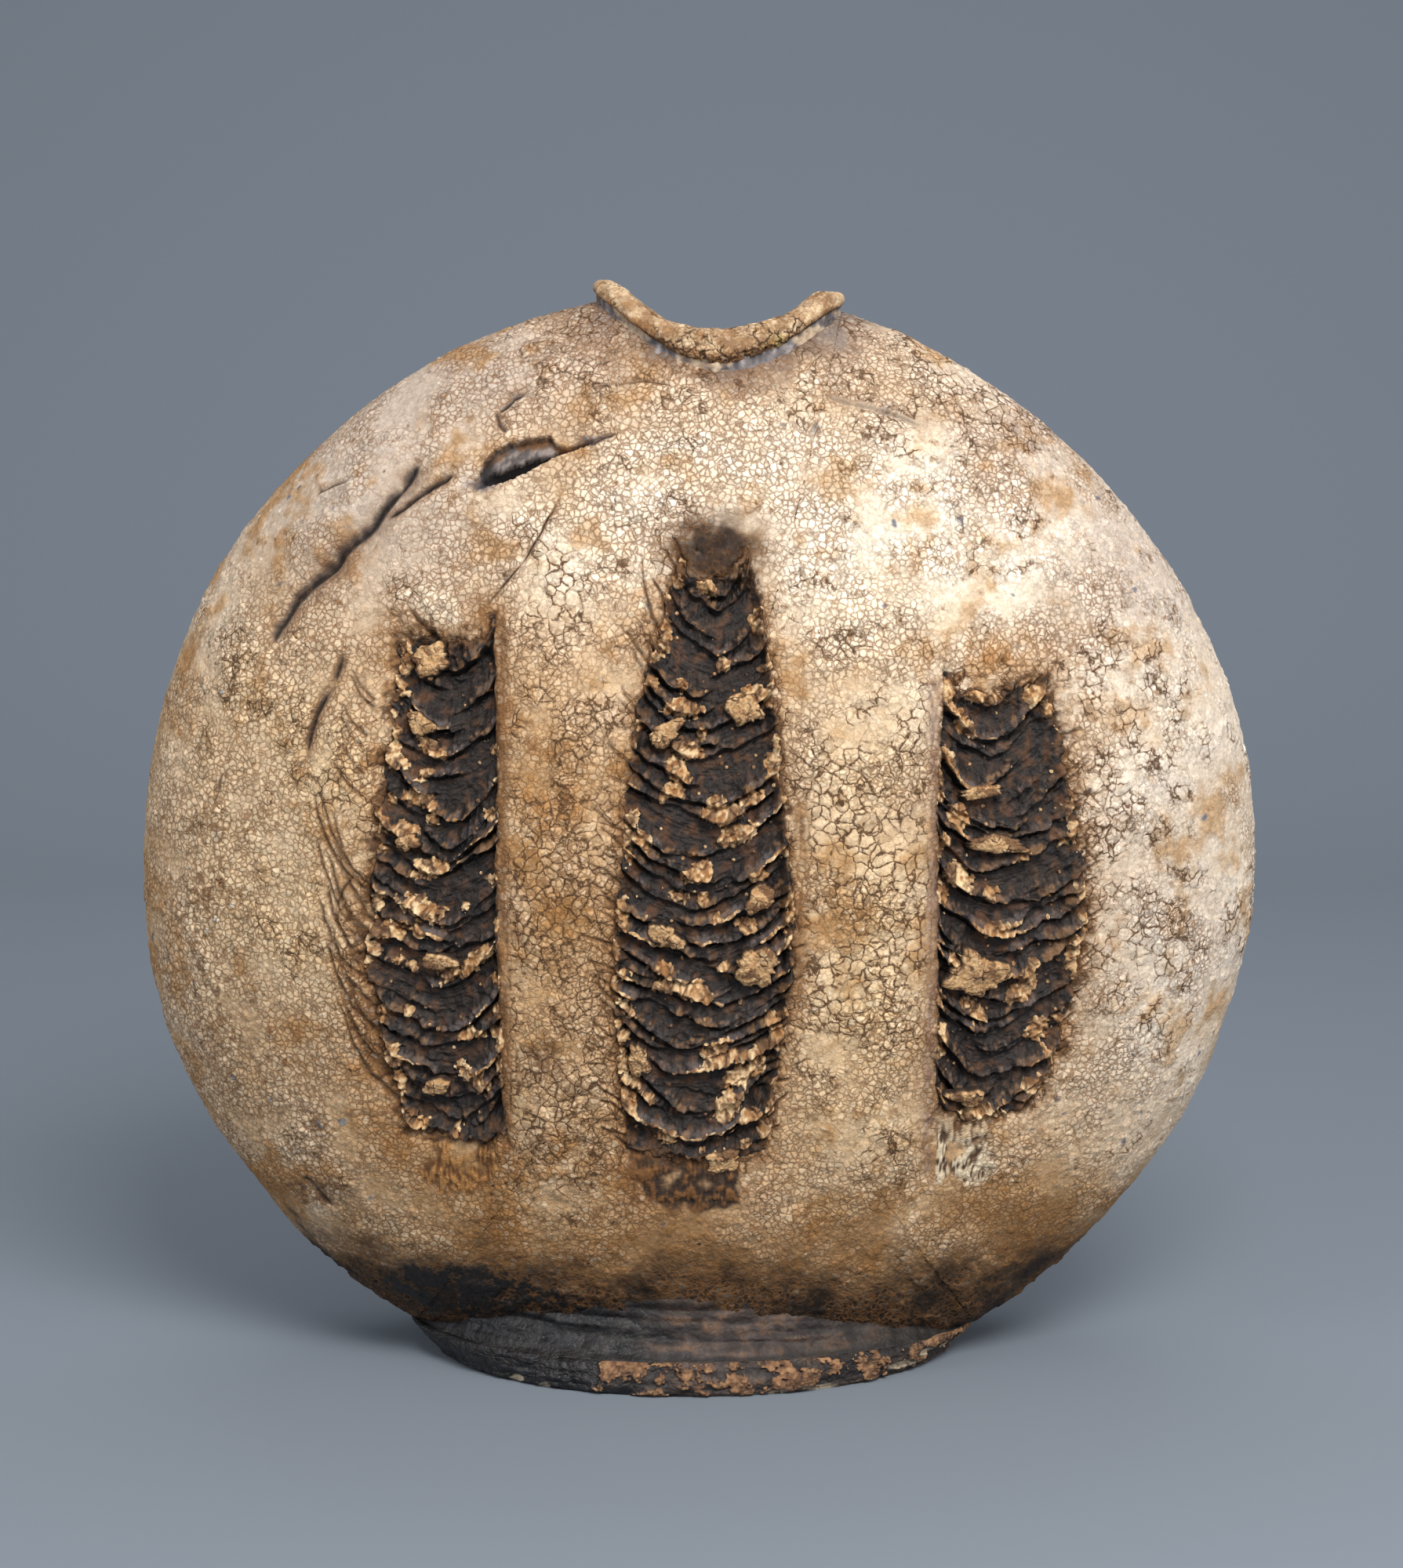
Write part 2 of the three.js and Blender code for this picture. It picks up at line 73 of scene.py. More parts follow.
def _noise(P, scale, seed):
    Q = (P / F(scale) + np.array([seed * 17.31, seed * 5.77, seed * 11.13], F)).astype(F)
    i = np.floor(Q).astype(np.int64)
    f = (Q - i).astype(F)
    w = f * f * f * (f * (f * 6 - 15) + 10)
    out = np.zeros(len(P), F)
    for a in (0, 1):
        wa = w[:, 0] if a else 1 - w[:, 0]
        for b in (0, 1):
            wb = w[:, 1] if b else 1 - w[:, 1]
            for c in (0, 1):
                wc = w[:, 2] if c else 1 - w[:, 2]
                g = GR[cell_index(i[:, 0] + a, i[:, 1] + b, i[:, 2] + c)]
                out += wa * wb * wc * (g[:, 0] * (f[:, 0] - a) + g[:, 1] * (f[:, 1] - b) + g[:, 2] * (f[:, 2] - c))
    return out * F(1.6)


def noise(P, scale, seed=0):
    return chunks(_noise, P, scale, seed)


def _voro(P, cell, seed):
    Q = (P / F(cell) + np.array([seed * 7.7, seed * 3.3, seed * 9.1], F)).astype(F)
    i = np.floor(Q).astype(np.int64)
    f = (Q - i).astype(F)
    best = np.full(len(P), 9, F)
    second = np.full(len(P), 9, F)
    r1 = np.zeros((len(P), 3), F)
    r2 = np.zeros((len(P), 3), F)
    cid = np.zeros(len(P), F)
    for a in (-1, 0, 1):
        for b in (-1, 0, 1):
            for c in (-1, 0, 1):
                k = cell_index(i[:, 0] + a, i[:, 1] + b, i[:, 2] + c)
                r = PT[k] + np.array([a, b, c], F) - f
                d = (r * r).sum(1)
                m = d < best
                m2 = (~m) & (d < second)
                r2[m] = r1[m]
                second[m] = best[m]
                r2[m2] = r[m2]
                second[m2] = d[m2]
                best[m] = d[m]
                r1[m] = r[m]
                cid[m] = ID[k[m]]
    # distance to the plane between the two nearest points
    n = r2 - r1
    e = ((r1 + r2) * 0.5 * n).sum(1) / np.maximum(np.sqrt((n * n).sum(1)), 1e-5)
    return e * F(cell), np.sqrt(best) * F(cell), cid


def voro(P, cell, seed=0):
    return chunks(_voro, P, cell, seed)


def warped(P, seed, a1=2.2, a2=1.15, a3=0.5):
    out = np.array(P, F)
    for k in range(3):
        out[:, k] += F(a1) * noise(P, 11, seed + k) + F(a2) * noise(P, 4.3, seed + 5 + k) + F(a3) * noise(P, 1.7, seed + 9 + k)
    return out


def ss(a, b, x):
    t = np.clip((x - a) / (b - a), 0, 1)
    return t * t * (3 - 2 * t)


def mix(a, b, t):
    t = np.asarray(t)[..., None]
    return a * (1 - t) + np.asarray(b, F) * t


def flat(c, n):
    return np.tile(np.array(c, F), (n, 1))


def bump2(x, z, cx, cz, sx, sz):
    return np.exp(-((x - cx) / sx) ** 2 - ((z - cz) / sz) ** 2)


def lin(c):
    c = np.clip(c, 0, 1)
    return np.where(c <= 0.04045, c / 12.92, ((c + 0.055) / 1.055) ** 2.4)


# ---------------------------------------------------------------- body surface
def outline_radius(th):
    n = len(OUTLINE)
    d = (np.degrees(th) + 180) / 15
    i = np.floor(d).astype(int)
    f = d - i
    p0, p1, p2, p3 = (OUTLINE[(i + k) % n] for k in (-1, 0, 1, 2))
    return p1 + 0.5 * f * (p2 - p0 + f * (2 * p0 - 5 * p1 + 4 * p2 - p3 + f * (3 * (p1 - p2) + p3 - p0)))


def fullness(th):
    return 2.12 - 0.27 * np.clip(np.sin(th), 0, 1) ** 2


def level(x, z):
    r, th = np.hypot(x, z - ZC), np.arctan2(z - ZC, x)
    return (r / outline_radius(th)) ** fullness(th)


def body_normals(P):
    """Outward normals of the body's surface at points on it."""
    x, y, z = P[:, 0].astype(float), P[:, 1].astype(float), P[:, 2].astype(float)
    h = 1.0
    n = np.stack([(level(x + h, z) - level(x - h, z)) / (2 * h), 2 * y / T ** 2, (level(x, z + h) - level(x, z - h)) / (2 * h)], 1)
    return n / np.maximum(np.linalg.norm(n, axis=1, keepdims=True), 1e-12)


def depth_at(x, z, off=0.0):
    dz = z - ZC
    r, th = np.hypot(x, dz), np.arctan2(dz, x)
    q = r / (outline_radius(th) - off)
    return (T - off) * np.sqrt(np.clip(1 - q ** fullness(th), 0, None))


def top_at(x, y, off=0.0):
    x, y = np.broadcast_arrays(np.asarray(x, float), np.asarray(y, float))
    a, b = np.full(x.shape, ZC), np.full(x.shape, 450.0)
    for _ in range(40):
        m = (a + b) / 2
        th = np.arctan2(m - ZC, x)
        inside = (np.hypot(x, m - ZC) < outline_radius(th) - off) & (depth_at(x, m, off) > np.abs(y))
        a, b = np.where(inside, m, a), np.where(inside, b, m)
    return a


def sgnpow(v, p):
    return np.sign(v) * np.abs(v) ** p


def mouth_point(f, a, b):
    return MOUTH_CX + a * sgnpow(np.cos(f), 2 / MOUTH_P), b * sgnpow(np.sin(f), 2 / MOUTH_P)


def polar_limit():
    """Radius at each angle where the wall ends: the seam, the mouth's hole, or the flat bottom."""
    ths = np.linspace(-math.pi, math.pi, 7201)
    lim = outline_radius(ths)
    f = np.linspace(0, math.pi, 4001)
    x, y = mouth_point(f, MOUTH_A - 0.6, MOUTH_B - 0.6)
    z = top_at(x, y)
    r, th = np.hypot(x, z - ZC), np.arctan2(z - ZC, x)
    order = np.argsort(th)
    inside = (ths >= th.min()) & (ths <= th.max())
    lim[inside] = np.minimum(lim[inside], np.interp(ths[inside], th[order], r[order]))
    s = np.sin(ths)
    bottom = np.where(s < -0.2, (BODY_FLOOR_Z - ZC) / np.where(s < -0.2, s, -1), 1e9)
    return ths, np.minimum(lim, bottom)


LIM_TH, LIM_R = polar_limit()


def disc_grid(n):
    g = np.linspace(-1, 1, n + 1)
    a, b = np.meshgrid(g, g, indexing="ij")
    first = np.abs(a) > np.abs(b)
    r = np.where(first, a, b)
    phi = np.where(first, (math.pi / 4) * (b / np.where(a == 0, 1, a)), math.pi / 2 - (math.pi / 4) * (a / np.where(b == 0, 1, b)))
    zero = (a == 0) & (b == 0)
    r, phi = np.where(zero, 0, r), np.where(zero, 0, phi)
    x, y = r * np.cos(phi), r * np.sin(phi)
    return np.hypot(x, y), np.arctan2(y, x)


def wall_base(rho, th, side, off=0.0):
    """Points of the body's surface. side is -1 for the front and 1 for the back."""
    R0 = outline_radius(th)
    R = R0 - off
    lim = np.interp(th, LIM_TH, LIM_R)
    q = np.sin(rho * np.arcsin(np.clip(lim / R0, 0, 1)))
    y = side * (T - off) * np.sqrt(np.clip(1 - q ** fullness(th), 0, None))
    return np.stack([R * q * np.cos(th), y, ZC + R * q * np.sin(th)], -1)


# ---------------------------------------------------------------- mesh helpers
def grid_quads(nu, nv, flip=False, base=0):
    """Quads of a grid of nu x nv cells, and each corner's place in the grid."""
    i, j = np.meshgrid(np.arange(nu), np.arange(nv), indexing="ij")
    i, j = i.ravel(), j.ravel()
    s = nv + 1
    q = np.stack([i * s + j, (i + 1) * s + j, (i + 1) * s + j + 1, i * s + j + 1], 1) + base
    uv = np.stack([np.stack([i, j], 1), np.stack([i + 1, j], 1), np.stack([i + 1, j + 1], 1), np.stack([i, j + 1], 1)], 1).astype(float)
    uv /= [nu, nv]
    if flip:
        q, uv = q[:, ::-1], uv[:, ::-1]
    return q, uv


def make_mesh(name, verts_mm, faces, attrs, uvs=None, smooth=True):
    """faces is a list of integer arrays of width 3 or 4, and uvs a matching list of corner coordinates or None."""
    me = bpy.data.meshes.new(name)
    n = len(verts_mm)
    me.vertices.add(n)
    me.vertices.foreach_set("co", (np.asarray(verts_mm, np.float64) * 0.001).astype(F).ravel())
    loops = np.concatenate([f.ravel() for f in faces]).astype(np.int32)
    totals = np.concatenate([np.full(len(f), f.shape[1]) for f in faces]).astype(np.int32)
    starts = np.concatenate([[0], np.cumsum(totals)[:-1]]).astype(np.int32)
    me.loops.add(len(loops))
    me.loops.foreach_set("vertex_index", loops)
    me.polygons.add(len(totals))
    me.polygons.foreach_set("loop_start", starts)
    me.polygons.foreach_set("use_smooth", np.full(len(totals), smooth))
    me.update(calc_edges=True)
    full = {"Col2": attrs["Col"], "Rgh": np.full(n, 0.85, F), "Sel": np.full(n, -5, F), "Crk": np.zeros((n, 3), F)}
    full.update(attrs)
    for key, value in full.items():
        value = np.asarray(value, F)
        if value.ndim == 2:
            a = me.attributes.new(key, "FLOAT_COLOR", "POINT")
            rgba = np.ones((n, 4), F)
            rgba[:, :3] = value if key == "Crk" else lin(value)
            a.data.foreach_set("color", rgba.ravel())
        else:
            a = me.attributes.new(key, "FLOAT", "POINT")
            a.data.foreach_set("value", value)
    if uvs is not None:
        layer = me.uv_layers.new(name="OFBake")
        layer.data.foreach_set("uv", np.concatenate([u.reshape(-1, 2) for u in uvs]).astype(F).ravel())
    ob = bpy.data.objects.new(name, me)
    bpy.context.scene.collection.objects.link(ob)
    return ob


def square_loop(n, base=0):
    a = [i * (n + 1) for i in range(n)]
    b = [n * (n + 1) + j for j in range(n)]
    c = [i * (n + 1) + n for i in range(n, 0, -1)]
    d = [j for j in range(n, 0, -1)]
    return np.array(a + b + c + d) + base


def bridge(fine, coarse):
    """Triangles between two closed loops, the first k times as fine as the second."""
    k = len(fine) // len(coarse)
    g = fine.reshape(-1, k)
    nxt, nxt_c = np.roll(g[:, 0], -1), np.roll(coarse, -1)
    tris = []
    for a in range(k):
        p, q = g[:, a], (g[:, a + 1] if a + 1 < k else nxt)
        tris.append(np.stack([p, q, coarse if a < k // 2 else nxt_c], 1))
        if a == k // 2 - 1:
            tris.append(np.stack([q, nxt_c, coarse], 1))
    return np.concatenate(tris)


# ---------------------------------------------------------------- stripes
STRIPES = {
    "left": dict(
        left=[[-112, 308], [-114.8, 290.5], [-118.4, 257.8], [-123.9, 221.6], [-127.5, 184.6], [-125.5, 160],
              [-119.5, 132], [-112.5, 108], [-104, 84]],
        right=[[-77.5, 308], [-76.2, 290], [-75.7, 258], [-76.2, 205], [-76, 160], [-75.4, 130], [-74, 105], [-73.5, 84]],
        top=306, bottom=108, cad=(308, 90), sag=10, ridge_top=306, ridge_bottom=104, soft_l=11.0, soft_r=1.5, seed=3, dip=13.0, low_u=0.52),
    "centre": dict(
        left=[[-3, 341], [-8, 327], [-13, 310], [-17.5, 292], [-22, 279], [-25.5, 250], [-28, 220], [-31, 185], [-31.4, 160],
              [-29, 130], [-26.5, 100], [-22.5, 72]],
        right=[[16, 341], [22.5, 327], [26, 311], [28.5, 291], [31.5, 262], [34, 228], [37.3, 188], [36, 166], [31.4, 142],
               [29, 118], [24, 92], [16, 72]],
        top=333, bottom=104, cad=(341, 76), sag=13, ridge_top=334, ridge_bottom=100, soft_l=4.5, soft_r=4.0, seed=5, dip=15.0, low_u=0.52),
    "right": dict(
        left=[[95.2, 287], [94, 276], [92.8, 240], [92.5, 204], [93.6, 165], [94, 130], [93.9, 96], [93.7, 82]],
        right=[[132, 287], [138.2, 274.7], [141.9, 257], [145.7, 238], [149, 220], [151.2, 201], [150.8, 183],
               [147.6, 164], [142.8, 145], [135.6, 126], [126.6, 110], [119, 96], [112, 82]],
        top=287, bottom=117, cad=(287, 88), sag=11, ridge_top=291, ridge_bottom=116, soft_l=2.0, soft_r=9.0, seed=8, dip=15.5, low_u=0.40),
}


def edge_x(edge, z):
    e = np.array(edge[::-1], float)
    z = np.asarray(z, float)
    return sum(np.interp(z + 3 * k, e[:, 1], e[:, 0]) for k in range(-4, 5)) / 9


def stripe_coords(s, P):
    """u across the stripe, its width, and distances inside its left, right, top and bottom edges."""
    x, z = P[:, 0].astype(float), P[:, 2].astype(float)
    xl, xr = edge_x(s["left"], z), edge_x(s["right"], z)
    u = (x - xl) / (xr - xl)
    ragged = 1.9 * noise(P, 10, s["seed"] + 31) + 1.2 * noise(P, 3.6, s["seed"] + 32) + 0.5 * noise(P, 1.5, s["seed"] + 33)
    kl, kr = 0.25 + 0.11 * s["soft_l"], 0.25 + 0.11 * s["soft_r"]
    bow = s["sag"] * 0.55 * (1 - (2 * np.clip(u, 0, 1) - 1) ** 2)
    return u, xr - xl, x - xl + ragged * kl, xr - x + ragged * kr, s["top"] - z - bow + 2.2 * ragged, z - s["bottom"] + 0.8 * bow + 1.6 * ragged


UG = np.linspace(-0.5, 1.5, 480)


def table(r, bends, size, m=480):
    """Smooth random curve with about that many bends, as a table of m values."""
    k = np.exp(-0.5 * (np.arange(-60, 61) / (m / bends / 3.2)) ** 2)
    return np.convolve(r.normal(size=m + 120), k / np.sqrt((k * k).sum()), mode="valid")[:m] * size


def make_ridges(s):
    r = np.random.default_rng(100 + s["seed"])
    out, v = [], s["ridge_top"]
    while v > s["ridge_bottom"]:
        lo, hi = -0.4, 1.4
        part = r.random()
        if part < 0.26:
            hi = 0.42 + 0.25 * r.random()
        elif part < 0.52:
            lo = 0.33 + 0.25 * r.random()
        u0 = float(np.clip(s["low_u"] + 0.08 * r.normal(), 0.25, 0.72))
        p = 1.05 + 0.65 * r.random()
        dip = s["dip"] * (0.85 + 0.5 * r.random())
        t = np.where(UG < u0, (UG - u0) / u0, (UG - u0) / (1 - u0))
        t = np.sqrt(t * t + 0.02)
        c = v - dip * (1 - t ** p) + table(r, 5, 1.1) + table(r, 14, 0.55) + table(r, 36, 0.22)
        width = float(edge_x(s["right"], v) - edge_x(s["left"], v))
        amp = np.clip(0.80 + table(r, 6, 0.30) + table(r, 20, 0.16), 0.12, 1.4) * (0.50 + 0.70 * r.random())
        amp = amp * ss(lo - 0.08, lo + 0.10, UG) * ss(-hi - 0.08, -hi + 0.10, -UG)
        out.append(dict(c=c, slope=np.gradient(c, UG) / width, amp=amp, L=4.6 + 4.6 * r.random(), v=v, width=width,
                        ext_l=r.random(), ext_r=r.random()))
        v -= (4.6, 6.2, 7.8, 9.6, 12.0)[r.choice(5, p=[0.18, 0.26, 0.27, 0.19, 0.10])] * (1.0 if part > 0.52 else 0.72)
    return out


def make_flakes(s, ridges):
    """Plates of torn clay: x, z, half width, half height, cosine and sine of their turn."""
    r = np.random.default_rng(300 + s["seed"])
    out = []
    for g in ridges:
        for _ in range(r.poisson(1.5)):
            u = r.uniform(0.04, 0.96)
            c, sl = np.interp(u, UG, g["c"]), np.interp(u, UG, g["slope"])
            if np.interp(u, UG, g["amp"]) < 0.25:
                continue
            x = float(edge_x(s["left"], c)) + u * g["width"]
            a = math.atan(sl) + 0.25 * r.normal()
            big = r.random() ** 1.8
            out.append((x, c + r.uniform(0.2, 3.0), 1.9 + 6.6 * big, 1.3 + 1.4 * r.random() + 2.2 * big, math.cos(a), math.sin(a)))
    for z in np.arange(s["bottom"] + 6, s["top"] - 4, 6.0):
        for side, edge, soft in (("l", s["left"], s["soft_l"]), ("r", s["right"], s["soft_r"])):
            if r.random() < 0.42 + 0.03 * soft:
                zz = z + r.normal() * 2.5
                xe = float(edge_x(edge, zz))
                inn = r.uniform(-1.5, 3.5) * (1 if side == "l" else -1)
                a = r.normal() * 0.5 + math.pi / 2
                out.append((xe + inn, zz, 2.0 + 4.2 * r.random() ** 1.5, 1.3 + 2.0 * r.random(), math.cos(a), math.sin(a)))
    return out


for _s in STRIPES.values():
    _s["ridges"] = make_ridges(_s)
    _s["flakes"] = make_flakes(_s, _s["ridges"])


def stripe_fields(s, P):
    """Relief and colour of a raked stripe at surface points P."""
    n = len(P)
    x, z = P[:, 0].astype(float), P[:, 2].astype(float)
    seed = s["seed"]
    u, width, dl, dr, dt, db = stripe_coords(s, P)
    inside = np.minimum(np.minimum(dl, dr), np.minimum(dt, db))
    drop = 0.6 + 0.26 * np.where(dl < dr, s["soft_l"], s["soft_r"])
    trough = ss(-0.6, s["soft_l"], dl) * ss(-0.6, s["soft_r"], dr) * ss(-1, 9, dt) * ss(-1, 11, db)
    bed = -drop - (BED - drop) * trough
    n9, n4, n2, n1 = noise(P, 9, seed + 6), noise(P, 4.0, seed + 7), noise(P, 2.0, seed + 8), noise(P, 1.0, seed + 9)
    # the ridges: gentle above the crest, sharp and hollow below
    H, crest, line, broad = np.zeros(n), np.zeros(n), np.zeros(n), np.zeros(n)
    for g in s["ridges"]:
        m = np.nonzero((np.abs(z - g["v"] + 8) < 30) & (u > -0.25) & (u < 1.25))[0]
        d = (z[m] - np.interp(u[m], UG, g["c"])) / np.sqrt(1 + np.interp(u[m], UG, g["slope"]) ** 2)
        k = (d > -2.4) & (d < g["L"])
        m, d = m[k], d[k]
        if not len(m):
            continue
        A = np.interp(u[m], UG, g["amp"]) * np.clip(1 + 0.30 * n4[m] + 0.22 * n2[m], 0.3, 1.6)
        up = np.clip(1 - d / g["L"], 0, 1) ** 1.7
        H[m] = np.maximum(H[m], A * np.where(d >= 0, up, ss(-0.95, 0.0, d)))
        crest[m] = np.maximum(crest[m], A * np.exp(-((d - 0.35) / 0.95) ** 2))
        broad[m] = np.maximum(broad[m], A * np.exp(-((d - 1.1) / 1.5) ** 2))
        line[m] = np.maximum(line[m], np.exp(-((d + 1.35) / 0.85) ** 2) * np.clip(1.2 * A, 0, 1))
    reach = ss(-6.0, 0.5, np.minimum(dl, dr)) * ss(-2, 3, dt) * ss(-2, 4, db)
    H, crest, line, broad = H * reach, crest * reach, line * reach, broad * reach
    H = 1.15 * np.tanh(H / 1.15)
    h = bed + 6.2 * H - 1.2 * line
    # plates
    FL = np.full(n, -4.0)
    jag = voro(P, 3.2, seed + 3)
    for (fx, fz, a, b, ca, sa) in s["flakes"]:
        m = np.nonzero((np.abs(x - fx) < a + 3) & (np.abs(z - fz) < a + 3))[0]
        if not len(m):
            continue
        dx, dz = x[m] - fx, z[m] - fz
        p, q = dx * ca + dz * sa, -dx * sa + dz * ca
        FL[m] = np.maximum(FL[m], (1 - np.sqrt((p / a) ** 2 + (q / b) ** 2)) * min(a, b))
    FL = np.where(FL > -3.9, FL + 1.5 * (jag[2] - 0.5) + 0.9 * n2 + 0.35 * n1, -4.0)
    plate = ss(-0.05, 0.5, FL)
    h += plate * (1.05 + 0.40 * n2 + 0.22 * n1) + 0.5 * plate * ss(0.5, 2.2, FL)
    h -= 0.55 * plate * np.exp(-(jag[0] / 0.25) ** 2) * ss(-0.2, 0.3, n4)
    # drag lines run along the ridges, crumbs lie in the hollows
    t = np.where(u < s["low_u"], (u - s["low_u"]) / s["low_u"], (u - s["low_u"]) / (1 - s["low_u"]))
    q = z + s["dip"] * (1 - np.abs(np.clip(t, -1.6, 1.6)) ** 1.7)
    Q = np.stack([x * 0.16, q, q * 0], 1).astype(F)
    drag = 0.6 * noise(Q, 1.9, seed + 15) + 0.5 * noise(Q, 0.95, seed + 16)
    h += 0.60 * drag * ss(-1, 3, inside) * (1 - 0.6 * plate)
    _, gf, gid = voro(P, 2.7, seed + 2)
    crumb = (gid > 0.80) * ss(-1.05, -0.45, -gf) * ss(-3, 1, inside)
    h += 0.65 * crumb + 0.22 * n1 + 0.10 * noise(P, 0.55, seed + 19) + 0.35 * n2 + 0.5 * n4

    h = np.where(h > 0.4, 0.4 + 0.35 * (h - 0.4), h)

    # colour: black-brown beds, painted grey-lilac and ochre highlights on the crests, ochre and tan where skin is left
    c9, c4, c2 = noise(P, 12, seed + 40), noise(P, 4.0, seed + 41), noise(P, 1.6, seed + 42)
    col = mix(flat([0.120, 0.093, 0.082], n), [0.285, 0.21, 0.165], np.clip(0.38 + 0.7 * c4 + 0.5 * c2 + 0.3 * drag, 0, 1))
    col = mix(col, [0.42, 0.265, 0.155], ss(0.08, 0.55, c4 + 0.5 * c9) * 0.62)
    # painted highlight: the crests' tops are lightened in grey-lilac and ochre where light catches them
    painted_crest_highlight = ss(0.22, 0.85, broad + 0.35 * c2 + 0.25 * n1 + 0.15 * drag)
    col = mix(col, [0.49, 0.435, 0.42], painted_crest_highlight * ss(-0.35, 0.35, c9 + 0.5 * c4) * 0.66)
    col = mix(col, [0.60, 0.44, 0.285], painted_crest_highlight * ss(-0.05, 0.45, -c9 + 0.6 * c4 + 0.4 * c2) * 0.80)
    # painted shade: the hollow under each crest is darkened towards black
    col = mix(col, [0.050, 0.040, 0.037], line * 0.92)
    # a blue-grey tone in patches, stronger on the crests as a painted reflection
    col = mix(col, [0.31, 0.30, 0.335], ss(0.25, 0.65, noise(P, 17, seed + 43) + 0.5 * c4) * (0.15 + 0.35 * painted_crest_highlight))
    col = col * 0.88
    # the borders keep more of the wall's brown
    rim_l = np.exp(-np.clip(dl, 0, None) / (0.6 + 0.42 * s["soft_l"])) * (s["soft_l"] > 3)
    rim_r = np.exp(-np.clip(dr, 0, None) / (0.6 + 0.42 * s["soft_r"])) * (s["soft_r"] > 3)
    rim_v = np.exp(-np.clip(np.minimum(dt, db), 0, None) / 4.0)
    col = mix(col, [0.44, 0.30, 0.175], np.clip((rim_l + rim_r + rim_v) * ss(-0.3, 0.4, c4 + 0.5 * c2 + 0.15), 0, 1) * 0.75)
    tan = mix(flat([0.73, 0.56, 0.38], n), [0.93, 0.81, 0.635], np.clip(0.45 + 0.8 * n2 + 0.7 * c9 + 0.4 * n1, 0, 1))
    tan = mix(tan, [0.52, 0.34, 0.19], ss(-0.1, 0.45, c2 + 0.7 * c4) * 0.70)
    tan = mix(tan, [0.36, 0.235, 0.15], ss(0.10, 0.45, n4 - 0.6 * c4 + 0.4 * n1) * 0.65)
    tan = mix(tan, [0.22, 0.155, 0.11], np.exp(-(jag[0] / 0.3) ** 2) * ss(-0.2, 0.3, n4) * 0.7)
    sel = np.maximum(FL, np.where((crumb > 0.3) & (gid > 0.90), (crumb - 0.45) * 1.5, -4.0))
    sel = np.maximum(sel, (crest - 1.02 + 0.35 * c2 + 0.55 * c9) * 1.6)
    rough = 0.66 - 0.14 * painted_crest_highlight + 0.10 * c4
    lean = 1.7 * np.clip(H, 0, 1.2) ** 1.6 * ss(0.5, 3, inside)
    return dict(inside=inside, h=h, col=col, tan=tan, sel=sel, rough=np.clip(rough + 0.3 * plate, 0.38, 0.95), lean=lean)


# ---------------------------------------------------------------- grooves and scratches, [x, z] in mm
def poly_dist(x, z, pts):
    """Distance to a polyline, position along it from 0 to 1, and signed side."""
    pts = np.array(pts, float)
    seg = np.hypot(*np.diff(pts, axis=0).T)
    cum = np.concatenate([[0], np.cumsum(seg)])
    best, pos, side = np.full(x.shape, 1e9), np.zeros(x.shape), np.zeros(x.shape)
    for k in range(len(pts) - 1):
        ax, az = pts[k]
        dx, dz = pts[k + 1] - pts[k]
        t = np.clip(((x - ax) * dx + (z - az) * dz) / (dx * dx + dz * dz), 0, 1)
        ex, ez = x - ax - t * dx, z - az - t * dz
        d = np.hypot(ex, ez)
        m = d < best
        best = np.where(m, d, best)
        pos = np.where(m, (cum[k] + t * seg[k]) / cum[-1], pos)
        side = np.where(m, dx * ez - dz * ex, side)
    return best, pos, np.sign(side)


GROOVES = [  # points from the upper end, valley width, depth, darkness, blue, shoulder
    ([[-104, 370], [-107.5, 366], [-111.5, 361.5], [-118.5, 351.5], [-126.5, 342], [-135.6, 333.6], [-146, 323.3], [-152, 317]], 4.4, 4.8, 0.85, 0.5, 1.8),
    ([[-136, 333], [-142, 327], [-148, 320.8], [-155.8, 312.8], [-163, 303], [-167, 291]], 3.8, 3.2, 0.8, 0.5, 0.8),
    ([[-91, 363.5], [-93.7, 361.9], [-98.8, 358.9], [-108, 353.1], [-115.6, 347.4], [-121, 344]], 1.8, 2.7, 0.9, 0.3, 0.7),
    ([[-134, 297], [-136, 293.2], [-141.1, 282.9], [-147.3, 269.9], [-152, 255.6], [-155.4, 244.5]], 2.0, 3.0, 0.85, 0.4, 0.8),
    ([[-77, 385.5], [-72.5, 388.5], [-70.5, 391], [-64, 394]], 2.0, 2.3, 0.8, 0.7, 0.4),
    ([[-77, 386], [-75.5, 381], [-72, 377.5]], 1.7, 1.6, 0.6, 0.3, 0.2),
    ([[46, 394], [56, 390.5], [67, 388], [80, 384], [94, 378]], 3.4, 1.5, 0.22, 0.3, 0.5),
    ([[-51.7, 358.7], [-55, 349], [-59, 341], [-65, 332], [-71, 323.6], [-80, 314], [-87, 308]], 0.6, 0.9, 0.8, 0.0, 0.1),
    ([[-42, 373.4], [-36, 376.5], [-29, 378.8]], 1.3, 1.9, 0.9, 0.9, 0.1),
    ([[-112, 314.5], [-107, 308.5], [-101, 302.5], [-94, 295], [-89, 290]], 0.9, 1.6, 0.95, 0.0, 0.2),
    ([[-157, 84], [-151, 77], [-143, 69]], 1.8, 1.4, 0.6, 0.2, 0.2),
    ([[-42, 395], [-20, 397.5], [-4, 395]], 0.7, 0.9, 0.5, 0.0, 0.1),
    ([[-150, 352], [-139, 357], [-131, 359]], 0.8, 0.8, 0.5, 0.0, 0.1),
    ([[-132, 210], [-136, 204], [-139, 196]], 0.8, 0.9, 0.6, 0.0, 0.1),
    ([[-186, 246], [-190, 232]], 1.0, 0.8, 0.4, 0.0, 0.1),
]
